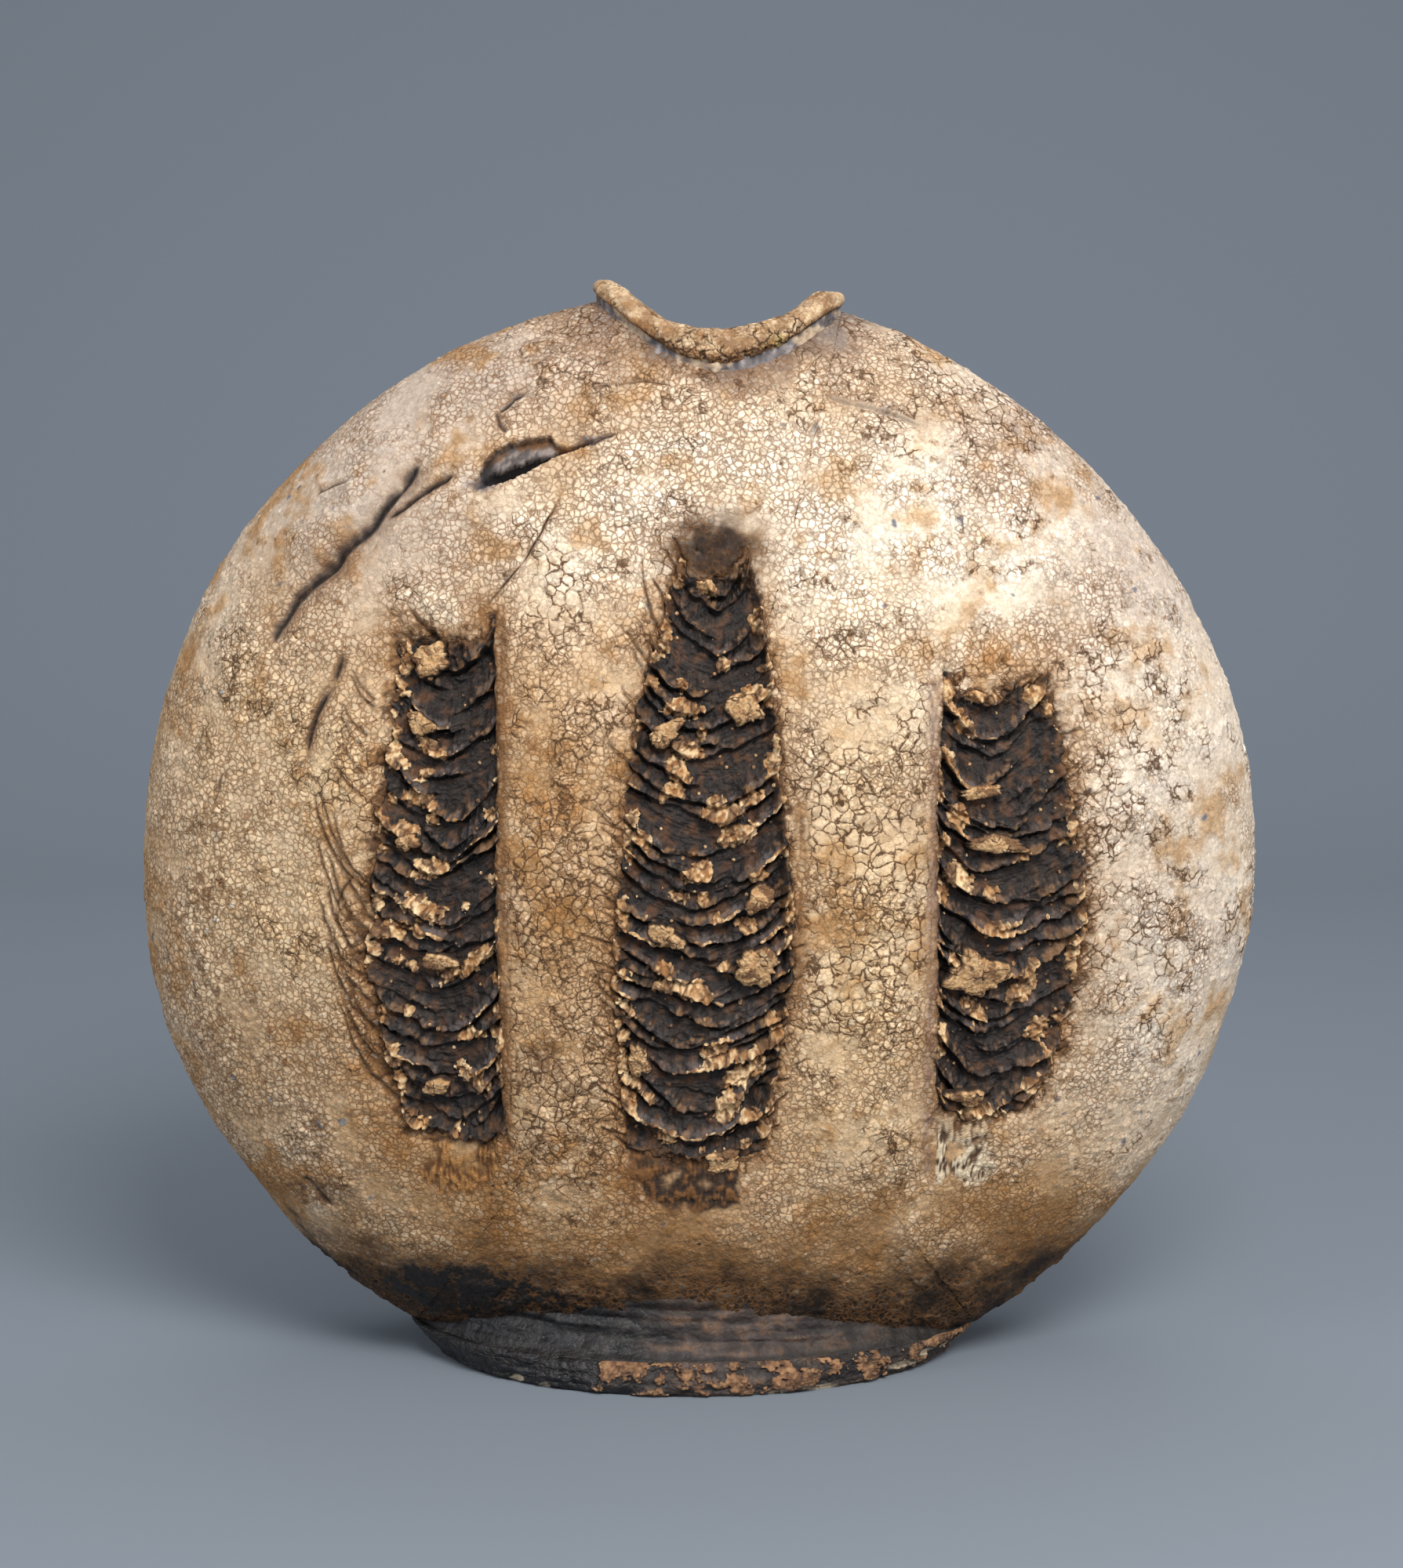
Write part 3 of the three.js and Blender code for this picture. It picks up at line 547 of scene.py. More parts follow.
BACK_GROOVES = [
    ([[60, 330], [78, 338], [96, 343]], 3.2, 1.8, 0.4, 0.3, 0.5),
    ([[-60, 150], [-70, 128], [-84, 110]], 2.0, 1.6, 0.6, 0.3, 0.4),
    ([[20, 250], [4, 236], [-16, 226], [-34, 221]], 1.2, 1.2, 0.6, 0.1, 0.2),
]


SLOT_TOP = np.array([[-84, 360], [-82.5, 364.5], [-80.9, 367.1], [-77.6, 370.6], [-69.4, 374.2], [-60.7, 376.6], [-56, 377.0], [-54.0, 374.2], [-47.3, 374.1], [-38, 377.2]])
SLOT_SLIT = np.array([[-84, 359.5], [-79.0, 363.4], [-72.9, 365.5], [-66.3, 367.8], [-54.8, 371.9], [-47.3, 373.5], [-38, 376.9]])
SLOT_LOW = np.array([[-84, 357.5], [-79.9, 358.8], [-74.4, 360.0], [-65.6, 363.7], [-57.5, 368.3], [-51.8, 370.9], [-47.3, 372.3], [-38, 376.3]])


def gash(x, z):
    """The deep slot at the upper left: depth, the slit (the colour paints it near-black as shade), weight, rim and a
    black edge.
    """
    top = np.interp(x, SLOT_TOP[:, 0], SLOT_TOP[:, 1])
    slit = np.interp(x, SLOT_SLIT[:, 0], SLOT_SLIT[:, 1])
    low = np.interp(x, SLOT_LOW[:, 0], SLOT_LOW[:, 1])
    ends = ss(-84.5, -82.5, x) * ss(38.5, 42, -x)
    inside = ss(-0.15, 0.45, top - z) * ss(-0.3, 0.25, z - low) * ends
    dark = ss(-0.35, 0.35, slit - z) * inside
    shelf = ss(0, 2.2, top - z) * inside
    d = 2.6 * inside + 0.5 * shelf + 3.4 * dark
    rim = np.exp(-((z - top - 1.3) / 1.3) ** 2) * ss(-83, -79, x) * ss(54, 58, -x)
    edge = np.exp(-((z - top) / 0.55) ** 2) * ends * ss(50, 56, -x)
    return d, dark, inside, rim, edge, top - z


def scratches():
    """Hair lines that the rake left outside the stripes: points, width, depth."""
    r = np.random.default_rng(5)
    out = []
    for i in range(19):                            # fan left of the left stripe
        z0 = 246 - i * 4.7 + r.normal() * 1.4
        x0 = -147 + 0.010 * (z0 - 205) ** 2 / 10 + r.normal() * 2.5 + i * 0.5
        ln = 18 + 13 * r.random()
        out.append(([[x0, z0], [x0 + ln * 0.16, z0 - ln * 0.62], [x0 + ln * 0.42, z0 - ln * 1.20], [x0 + ln * 0.80, z0 - ln * 1.62],
                     [x0 + ln * 1.20, z0 - ln * 1.88]], 0.50 + 0.35 * r.random(), 1.3))
    for i in range(6):                             # short ones above it, at the shoulder
        z0 = 292 - i * 7 + r.normal() * 2
        x0 = -131 - i * 1.6 + r.normal() * 1.5
        out.append(([[x0, z0], [x0 + 4, z0 - 7], [x0 + 9, z0 - 12]], 0.42, 0.7))
    for name, side, amount, reach in (("centre", "l", 0.75, 15), ("centre", "r", 0.45, 9), ("right", "r", 0.75, 8), ("right", "l", 0.2, 3), ("left", "r", 0.2, 2)):
        s = STRIPES[name]
        for g in s["ridges"]:
            e = g["ext_l"] if side == "l" else g["ext_r"]
            if e > amount or (name == "centre" and side == "r" and g["v"] > 190):
                continue
            far = reach * (0.45 + 0.8 * e) / g["width"]
            us = np.linspace(-far, 0.10, 6) if side == "l" else np.linspace(1 + far, 0.90, 6)
            zs = np.interp(us, UG, g["c"])
            xl = edge_x(s["left"], zs)
            out.append(([[float(a + b * g["width"]), float(c)] for a, b, c in zip(xl, us, zs)], 0.52, 1.15))
    return out


SCRATCH = scratches()


# ---------------------------------------------------------------- the wall's relief and colour
def wall_fields(P, side):
    """Relief in mm along the outward normal, sRGB colour, roughness, and weights of the crackle."""
    x, y, z = P[:, 0].astype(float), P[:, 1].astype(float), P[:, 2].astype(float)
    n = len(P)
    front = side < 0
    r = np.hypot(x, z - ZC)
    rim = ss(192, 220, r)
    big, mid, small, tiny = noise(P, 120, 1), noise(P, 42, 2), noise(P, 15, 3), noise(P, 5.5, 4)
    fine, grain = noise(P, 2.2, 5), noise(P, 1.1, 6)
    # the front's fields, which fade out behind the seam
    fr = np.ones(n) if front else 1 - ss(4, 55, np.abs(y))
    dark_scale = fr * (bump2(x, z, -192, 190, 16, 70) + 0.6 * bump2(x, z, -150, 110, 30, 30)) + (1 - fr) * 0.3 * rim

    # where the crackle is open and coarse, fine, or nearly closed
    coarse = (0.95 * bump2(x, z, -52, 215, 26, 120) + 0.85 * bump2(x, z, 64, 215, 34, 90) + 0.70 * ss(360, 400, z) * ss(-120, -40, x) + 0.62 * bump2(x, z, 182, 215, 48, 115)
              + 0.50 * bump2(x, z, -155, 255, 40, 75) + 0.5 * bump2(x, z, -95, 330, 30, 20) + 0.5 * bump2(x, z, 110, 386, 55, 20))
    coarse = fr * coarse + (1 - fr) * 0.5
    upper_left = fr * bump2(x, z, -128, 352, 58, 46) * ss(45, 95, -x) + (1 - fr) * bump2(x, z, 110, 330, 60, 50)
    smooth = np.clip(0.95 * upper_left * (0.8 + 0.5 * mid) + 0.45 * rim + 0.35 * ss(-80, -40, -z) + 0.2 * big, 0, 1)
    ca = np.clip(0.14 + 0.66 * np.clip(coarse, 0, 1) - 0.30 * smooth + 0.40 * mid + 0.35 * small + 0.15 * tiny, 0, 1)
    cb = np.clip(0.70 - 0.36 * smooth - fr * (0.42 * bump2(x, z, 64, 215, 32, 100) + 0.40 * ss(135, 185, x) + 0.20 * bump2(x, z, 110, 335, 50, 35)) + 0.60 * noise(P, 28, 24) + 0.40 * small + 0.4 * np.clip(dark_scale, 0, 1), 0, 1)
    tint = np.clip(0.72 - 0.45 * smooth + 0.45 * mid + 0.35 * small, 0.08, 1)

    relief = 1.4 * big + 1.0 * mid + 0.50 * small + 0.28 * tiny + 0.18 * fine + 0.11 * grain
    _, fg, idg = voro(P, 4.4, 6)
    clump = ss(0.1, 0.5, noise(P, 30, 19))
    grit = (idg > 0.955 - 0.05 * clump) * ss(-0.85, -0.35, -fg)
    pit = (idg < 0.035) * ss(-1.0, -0.35, -fg)
    relief += 0.45 * grit - 0.8 * pit
    relief += 0.16 * ss(0.10, 0.30, tiny + 0.5 * fine - 0.15 + 0.25 * small)

    # slip colour, from golden tan to cream
    # partly painted light: the slip is made lighter towards the right, above the bottom, as if lit from the right
    right = ss(-60, 170, x)
    cw = 0.32 + 0.56 * bump2(x, z, 10, 348, 125, 50) + 0.38 * right * ss(40, 150, z) + 0.45 * bump2(x, z, -165, 235, 60, 95) + 0.20 * bump2(x, z, 195, 200, 40, 110)
    cw = cw - 0.20 * bump2(x, z, -52, 215, 22, 100) - 0.20 * ss(-140, -50, -z) - 0.02 * bump2(x, z, 64, 200, 30, 80) - 0.18 * bump2(x, z, 130, 372, 50, 24)
    cw = fr * cw + (1 - fr) * (0.42 + 0.3 * bump2(x, z, 0, 330, 150, 60) - 0.2 * ss(-140, -50, -z))
    cw = np.clip(cw + 0.28 * mid + 0.24 * small + 0.12 * big + 0.10 * tiny, 0, 1)
    col = mix(flat([0.735, 0.582, 0.410], n), [0.950, 0.898, 0.825], cw)
    gold = fr * (0.55 * bump2(x, z, -160, 225, 55, 85) + 0.40 * bump2(x, z, 64, 205, 26, 95) + 0.25 * bump2(x, z, 20, 130, 90, 35))
    col = mix(col, [0.845, 0.705, 0.505], np.clip(gold * (1.0 + 0.9 * mid + 0.6 * small), 0, 1))
    grey = np.clip(0.95 * upper_left + fr * (0.95 * bump2(x, z, -84, 405, 60, 26) + 0.60 * bump2(x, z, 130, 368, 50, 28)) + 0.40 * rim * (0.6 + 0.8 * mid) + fr * (0.75 * bump2(x, z, 165, 320, 38, 34) + 0.5 * bump2(x, z, 185, 205, 36, 80)), 0, 1)
    col = mix(col, [0.735, 0.675, 0.625], grey * 0.82)
    brown = ss(0.05, 0.70, 0.55 * noise(P, 60, 14) + 0.7 * noise(P, 19, 15) + 0.45 * tiny + 0.15 - 0.25 * cw)
    col = mix(col, [0.615, 0.425, 0.225], brown * (0.45 + 0.30 * (1 - cw)))
    if front:
        rust = np.clip(0.85 * bump2(x, z, 117, 294, 15, 8) + 0.5 * bump2(x, z, -60, 258, 18, 40) + 0.45 * bump2(x, z, -20, 318, 14, 22)
                       + 0.4 * bump2(x, z, -118, 145, 22, 30) + 0.4 * bump2(x, z, -45, 105, 25, 25), 0, 1)
        col = mix(col, [0.62, 0.405, 0.20], rust * ss(-0.35, 0.45, small + 0.6 * tiny + 0.1) * 0.8)
    speck = ss(0.50, 0.72, noise(P, 2.6, 16) + 0.30 * small)
    col = mix(col, [0.40, 0.27, 0.165], speck * 0.45)
    pale = ss(0.30, 0.60, noise(P, 4.5, 62) + 0.4 * fine)
    col = mix(col, [0.965, 0.905, 0.79], pale * 0.30 * tint)
    dsc = ss(0.28, 0.55, noise(P, 3.2, 63) + 0.5 * small + 0.2) * np.clip(dark_scale, 0, 1)
    col = mix(col, [0.30, 0.22, 0.16], dsc * 0.55)
    col = mix(col, [0.95, 0.92, 0.86], grit * 0.9)
    col = mix(col, [0.22, 0.155, 0.11], pit * 0.75)
    blue = ss(0.78, 0.9, noise(P, 5.0, 17) + 0.2 * noise(P, 90, 18))
    col = mix(col, [0.38, 0.41, 0.47], blue * 0.85)
    rough = np.full(n, 0.86) + 0.05 * small

    # around the mouth: rough stained skin, and painted blue-grey shade in the hollow under the lip and at the neck's
    # sides
    dm = np.hypot((x - MOUTH_CX) / 66, (z - 426) / 27)
    stain = ss(-1.35, -0.55, -(dm + 0.30 * small + 0.12 * tiny))
    col = mix(col, [0.60, 0.44, 0.28], stain * 0.55)
    ring = np.hypot((x - MOUTH_CX) / 55, np.abs(y) / 49)
    # painted shade in the hollow under the lip
    under_lip_shade = ss(-1.06, -0.80, -(ring + 0.10 * small + 0.05 * tiny)) * (z > 380)
    col = mix(col, [0.37, 0.33, 0.325], under_lip_shade * 0.72)
    # painted shade at the neck's sides, beside the lip's ends
    neck_side_shade = ss(30, 48, np.abs(x - MOUTH_CX)) * (z > 395) * ss(-1.35, -0.9, -(ring + 0.1 * small))
    col = mix(col, [0.50, 0.465, 0.455], neck_side_shade * 0.6)

    wx, wz = x + 0.9 * small + 0.45 * tiny, z + 0.9 * mid + 0.45 * tiny
    if front:
        # pillars of wall between the stripes
        mid_z = ss(66, 120, z) * ss(-335, -285, -z)
        relief += mid_z * (3.0 * np.exp(-((x + 53) / 17) ** 4) + 2.8 * np.exp(-((x - 64) / 23) ** 4) + 1.2 * np.exp(-((x + 139) / 11) ** 2))
        relief += 1.8 * bump2(x, z, -126, 352, 20, 14) + 1.6 * bump2(x, z, -148, 335, 16, 14) - 1.2 * bump2(x, z, -96, 335, 22, 16)
    for pts, w, d, dk, bl, sh in (GROOVES if front else BACK_GROOVES):
        q, pos, sgn = poly_dist(wx, wz, pts)
        ends = ss(-0.01, 0.18, pos) * ss(-1.01, -0.72, -pos)
        asym = np.where(sgn < 0, 0.62, 1.35)       # steeper on the upper side
        g = np.exp(-(q / (w * asym)) ** 2) * ends
        relief += -d * 0.78 * g - d * 0.30 * np.exp(-(q / (0.30 * w + 0.15)) ** 2) * ends
        relief += sh * np.exp(-((q - 2.4 * w) / (1.7 * w)) ** 2) * ends * np.where(sgn < 0, 1.0, 0.35)
        rag = 0.5 + 1.0 * tiny + 0.35 * fine
        col = mix(col, [0.47, 0.32, 0.20], np.clip(np.exp(-(q / (1.3 * w * asym)) ** 2) * ends * (rag + 0.35), 0, 1) * 0.55 * dk)
        inner = ss(0.25, 0.85, np.exp(-(q / (0.46 * w + 0.2)) ** 2) * ends * (0.68 + rag * 0.7 + 0.4 * small))
        col = mix(col, np.array([0.20, 0.15, 0.12], F) * (1 - bl) + np.array([0.35, 0.345, 0.365], F) * bl, inner * dk * 0.88)
        # painted shade: the dark line along the groove's deepest part
        groove_shade = ss(0.3, 0.8, np.exp(-(q / (0.20 * w + 0.18)) ** 2) * ends * (0.65 + 0.5 * rag + 0.5 * small))
        col = mix(col, [0.09, 0.075, 0.07], groove_shade * dk * 0.92)
        smear = np.exp(-((q - 0.75 * w) / (0.34 * w + 0.2)) ** 2) * ends * (sgn > 0) * (0.55 + 0.8 * tiny + 0.5 * fine)
        col = mix(col, [0.52, 0.50, 0.50], np.clip(smear, 0, 1) * bl * 0.75)
        ca, cb = ca * (1 - 0.7 * inner), cb * (1 - 0.6 * inner)
        tint = tint * (1 - inner)
    if front:
        jx, jz = x + 0.35 * tiny + 0.30 * fine, z + 0.9 * tiny + 0.45 * fine + 0.25 * grain
        gd, slit_shade, gi, grim, gedge, gdown = gash(jx, jz)
        relief += 1.2 * grim - gd - gi * (0.50 * fine + 0.45 * grain)
        rough = rough + 0.1 * gi
        face = noise(np.stack([P[:, 0] * 0.35, P[:, 1], P[:, 2] - 0.31 * P[:, 0]], 1), 1.8, 66)
        gc = mix(flat([0.37, 0.34, 0.33], n), [0.56, 0.515, 0.49], np.clip(0.5 + 1.1 * face + 0.8 * tiny + 0.8 * fine + 0.6 * grain, 0, 1))
        gc = mix(gc, [0.42, 0.27, 0.155], ss(-3.4, -0.8, -gdown + 1.2 * tiny) * ss(-0.3, 0.3, tiny + 0.6 * fine + 0.15) * 0.85)
        # painted shade: the slit near-black, and the slot's deep left end darker
        gc = mix(gc, [0.045, 0.04, 0.04], slit_shade)
        gc = mix(gc, [0.15, 0.14, 0.15], ss(76, 81, -x + 2 * tiny) * 0.75)
        col = col * (1 - gi[:, None]) + gc * gi[:, None]
        col = mix(col, [0.15, 0.105, 0.08], np.clip(gedge * (0.8 + 1.2 * fine), 0, 1) * 0.8)
        blue_end = bump2(x, z, -82.5, 358.6, 5.0, 2.0) + 0.8 * bump2(x, z, -42, 376.5, 5, 1.6)
        col = mix(col, [0.33, 0.33, 0.36], np.clip(blue_end * (1.0 + 1.4 * fine + tiny), 0, 1) * 0.85)
        ca, cb, tint = ca * (1 - gi), cb * (1 - gi), tint * (1 - gi)
        # white grits at the far left
        for cx, cz, rr in ((-188.6, 187.7, 1.3), (-181.7, 194.3, 1.1), (-192.6, 182.6, 1.0)):
            w = bump2(x, z, cx, cz, rr, rr)
            relief += 0.5 * w
            col = mix(col, [0.97, 0.95, 0.91], ss(0.3, 0.6, w))
        # scratches
        idx = np.nonzero((x > -152) & (x < 168) & (z > 60) & (z < 340))[0]
        xs, zs = (x + 0.35 * tiny)[idx], (z + 0.35 * tiny)[idx]
        sc, sd = np.zeros(len(idx)), np.zeros(len(idx))
        for pts, w, d in SCRATCH:
            p = np.array(pts)
            m = np.nonzero((xs > p[:, 0].min() - 3) & (xs < p[:, 0].max() + 3) & (zs > p[:, 1].min() - 3) & (zs < p[:, 1].max() + 3))[0]
            if not len(m):
                continue
            q, pos, _ = poly_dist(xs[m], zs[m], pts)
            wv = w * (0.75 + 0.8 * pos)
            on = ss(0, 0.15, pos)
            a = np.exp(-(q / wv) ** 2) * on
            sc[m] = np.maximum(sc[m], a * (0.70 + 0.30 * pos))
            sd[m] = np.maximum(sd[m], a * d * (0.8 + 0.4 * pos))
            relief[idx[m]] += 0.22 * np.exp(-((q - 2.2 * wv) / wv) ** 2) * on
        relief[idx] -= sd
        hair = np.zeros(n)
        hair[idx] = sc
        col = mix(col, [0.19, 0.135, 0.10], np.clip(hair, 0, 1) * 0.9)
        streak = noise(np.stack([P[:, 0] * 2.6, P[:, 1] * 2.6, P[:, 2] * 0.16], 1), 3.0, 61)
        comb = noise(np.stack([P[:, 0] * 2.2, P[:, 1] * 2.2, P[:, 2] * 0.22], 1), 2.6, 64)
        # the scraped ends of the stripes
        jit = 3.0 * small + 1.6 * tiny
        tail_l = ss(-110, -104, x + jit) * ss(76, 82, -x + 0.4 * jit) * ss(76, 92, z + 1.6 * jit) * ss(-116, -106, -z)
        tail_c = ss(-30, -24, x + jit - 0.55 * np.clip(100 - z, 0, 30)) * ss(-20, -13, -x + jit) * ss(72, 82, z + jit) * ss(-112, -104, -z)
        tail_r = ss(93, 95.5, x) * ss(-120, -110, -x + jit) * ss(80, 92, z + 1.6 * jit) * ss(-126, -116, -z)
        cap_c = ss(-4, 1, x + 0.6 * jit) * ss(-18, -12, -x + 0.6 * jit) * ss(322, 330, z) * ss(-345, -338, -z + 0.8 * jit)
        scr = np.clip(0.5 + 0.9 * comb + 0.6 * tiny + 0.3 * fine, 0, 1)
        col = mix(col, mix(flat([0.37, 0.24, 0.14], n), [0.72, 0.52, 0.30], ss(0.2, 0.75, scr)), ss(0.15, 0.6, tail_l * (0.85 + 0.8 * small + 0.6 * tiny)) * 0.92)
        mott = np.clip(0.5 + 0.9 * small + 0.9 * tiny + 0.5 * fine, 0, 1)
        col = mix(col, [0.50, 0.33, 0.18], np.clip(bump2(x, z, -5, 92, 30, 16) * mott * 1.2, 0, 1) * 0.8)
        col = mix(col, mix(flat([0.15, 0.12, 0.115], n), [0.50, 0.335, 0.19], ss(0.55, 0.95, 0.5 * scr + 0.6 * mott) * 0.85), ss(0.2, 0.7, tail_c * (0.8 + 0.8 * small + 0.6 * tiny)) * 0.94)
        col = mix(col, mix(flat([0.24, 0.17, 0.13], n), [0.93, 0.86, 0.74], ss(0.20, 0.60, scr + 0.25 * small)), ss(0.10, 0.45, tail_r * (0.85 + 0.9 * small + 0.6 * tiny)) * 0.92)
        col = mix(col, mix(flat([0.15, 0.12, 0.115], n), [0.56, 0.385, 0.215], ss(0.42, 0.85, mott)), ss(0.2, 0.7, cap_c * (0.85 + tiny + 0.5 * fine)) * 0.90)
        any_tail = np.clip(tail_l + tail_c + tail_r + cap_c, 0, 1)
        relief += (0.6 * comb - 0.6 + 0.5 * tiny) * any_tail
        ca, cb, tint = ca * (1 - 0.7 * any_tail), cb * (1 - 0.6 * any_tail), tint * (1 - 0.9 * any_tail)
        # around the stripes: the wall dips, darkens and goes under the raked clay
        for name, s in STRIPES.items():
            _, _, dl, dr, dt, db = stripe_coords(s, P)
            out = -np.minimum(np.minimum(dl, dr), np.minimum(dt, db))
            o = np.clip(out, 0, None)
            soft = np.where(np.minimum(dl, dr) == dl, s["soft_l"], s["soft_r"])
            soft = np.where(np.minimum(dl, dr) < np.minimum(dt, db), soft, 7.0)
            drop = 0.6 + 0.26 * soft
            stain = np.exp(-o / (2.2 + 0.62 * soft)) * ss(-0.75, 0.45, small + 0.9 * tiny + 0.5 * fine + 0.20)
            dark = ss(0.22, 0.78, np.exp(-o / (1.0 + 0.30 * soft)) * (0.72 + 0.9 * tiny + 0.9 * fine + 0.5 * grain))
            col = mix(col, [0.55, 0.37, 0.205], np.clip(stain, 0, 1) * 0.66)
            col = mix(col, [0.23, 0.165, 0.125], np.clip(dark, 0, 1) * 0.78)
            ca = np.clip(ca + 0.40 * np.exp(-o / 7.0) * (out > 0), 0, 1)
            tint = tint * (1 - np.clip(stain, 0, 1) * 0.7)
            relief += np.where(out > 0, -drop * np.exp(-o / (0.9 + 0.30 * soft)), 0)
            relief = np.where(out <= 0, np.maximum(relief - drop - 10.0 * ss(0, 2.4, -out), -9.8), relief)
        col = mix(col, [0.17, 0.125, 0.10], np.clip(bump2(x, z, 7, 336, 14, 10) * (1.75 + 0.9 * small + 0.8 * tiny + 0.4 * fine), 0, 1) * 0.90)
        tint = tint * (1 - 0.9 * bump2(x, z, 7, 338, 16, 11))
        white = bump2(x + 0.55 * (z - 315), z, -99, 313, 14, 8.0) * (0.85 + 0.8 * small + 0.6 * tiny)
        col = mix(col, [0.93, 0.87, 0.77], ss(0.30, 0.70, white + 0.12 * fine) * 0.70)
        relief += 0.8 * np.clip(white, 0, 1)
        for cx, w, z0, z1, tone, dep in ((-73.6, 2.4, 88, 318, (0.40, 0.27, 0.165), 0.9), (-80, 6.0, 300, 324, (0.45, 0.29, 0.15), 0.9),
                                         (90.4, 2.6, 84, 294, (0.46, 0.375, 0.34), 0.9), (40, 2.4, 150, 250, (0.46, 0.31, 0.18), 0.7),
                                         (-24, 1.6, 72, 120, (0.42, 0.28, 0.17), 0.5)):
            m = np.exp(-((x - cx) / w) ** 2) * ss(z0, z0 + 12, z) * ss(-z1, -z1 + 16, -z)
            relief += dep * (0.7 * streak - 0.35) * m
            col = mix(col, tone, np.clip(m * (0.70 + 0.9 * streak), 0, 1) * 0.85)
            ca = ca * (1 - 0.8 * m)
        blot = bump2(x, z, -56.7, 141, 7, 5) + 0.8 * bump2(x, z, -47, 128, 4.5, 3) + 0.7 * bump2(x, z, -150, 77, 13, 5)
        col = mix(col, [0.17, 0.14, 0.125], np.clip(blot * (0.9 + 1.3 * tiny + 0.8 * fine), 0, 1) * 0.8)

    # the bottom darkens into the foot, partly darker clay and partly painted shade where the body curves under, black
    # at the lower left
    low = ss(-90, -32, -(z + 12 * mid + 10 * small + 4 * tiny))
    col = mix(col, [0.42, 0.295, 0.17], low * 0.68)
    # partly painted shade: the lowest part, where the body curves under, turns dark brown
    lower = ss(-56, -30, -(z + 11 * small + 8 * tiny + 3 * fine + 0.030 * x))
    col = mix(col, [0.140, 0.102, 0.076], lower * 0.88)
    patch = ss(0.02, 0.38, noise(P, 13, 27) + 0.7 * tiny + 0.4 * fine) * ss(-66, -34, -z)
    col = mix(col, [0.14, 0.105, 0.09], patch * 0.72)
    glow = ss(0.15, 0.5, noise(P, 9, 28) + 0.5 * tiny - 0.3 * patch) * low * (1 - 0.5 * lower)
    col = mix(col, [0.56, 0.39, 0.20], glow * 0.55)
    black = np.clip(1.35 * bump2(x, z, -92, 34, 34, 14) * (0.8 + 0.9 * small + 0.8 * tiny + 0.4 * fine) + 0.6 * bump2(x, z, -45, 30, 45, 7) * (0.6 + small + tiny), 0, 1)
    black = ss(0.25, 0.62, black)
    col = mix(col, [0.125, 0.115, 0.115], black * 0.93)
    # painted shade: the lowest part darkened further
    col = col * (1 - 0.16 * lower)[:, None]
    rough = rough - 0.30 * black - 0.1 * lower
    ca, cb = ca * (1 - 0.7 * black), cb * (1 - 0.7 * black)
    tint = tint * (1 - black) * (1 - 0.45 * low) * (1 - 0.6 * lower)
    relief += 0.6 * ss(0.15, 0.32, noise(P, 12, 71) + 0.4 * tiny) * ss(-56, -36, -z)
    return relief.astype(F), col, rough, np.stack([ca, cb, tint], 1)


# ---------------------------------------------------------------- build the two walls
def build_wall(name, side, n, m):
    rho, th = disc_grid(n)
    rho, th = rho.ravel(), th.ravel()
    P = wall_base(rho, th, side)
    N = body_normals(P)
    relief, col, rough, crk = wall_fields(P.astype(F), side)
    # the relief dies out where the foot and the collar join
    keep = 1 - ss(0.975, 1.0, rho) * (np.abs(P[:, 1]) > 1.5)
    V = P + N * (relief * keep)[:, None]
    rho_i, th_i = (g.ravel() for g in disc_grid(m))
    Q = wall_base(rho_i, th_i, side, WALL)
    qo, _ = grid_quads(n, n, flip=side > 0)
    qi, _ = grid_quads(m, m, flip=side < 0, base=len(V))
    li = square_loop(m, len(V))
    tris = bridge(square_loop(n), li)
    if side < 0:
        tris = tris[:, ::-1]
    inner = flat([0.55, 0.43, 0.30], len(Q)) * (1 + 0.12 * noise(Q.astype(F), 9, 33)[:, None])
    uv_v = np.concatenate([np.stack([0.57 + 0.425 * rho * np.cos(th), 0.57 + 0.425 * rho * np.sin(th)], 1),
                           np.stack([0.07 + 0.055 * rho_i * np.cos(th_i), 0.07 + 0.055 * rho_i * np.sin(th_i)], 1)])
    uv_t = uv_v[np.where(tris < len(V), li[0], tris)]
    return make_mesh(name, np.concatenate([V, Q]), [qo, qi, tris],
                     {"Col": np.concatenate([col, inner]), "Rgh": np.concatenate([rough, np.full(len(Q), 0.9)]),
                      "Crk": np.concatenate([crk, np.zeros((len(Q), 3))])}, [uv_v[qo], uv_v[qi], uv_t])


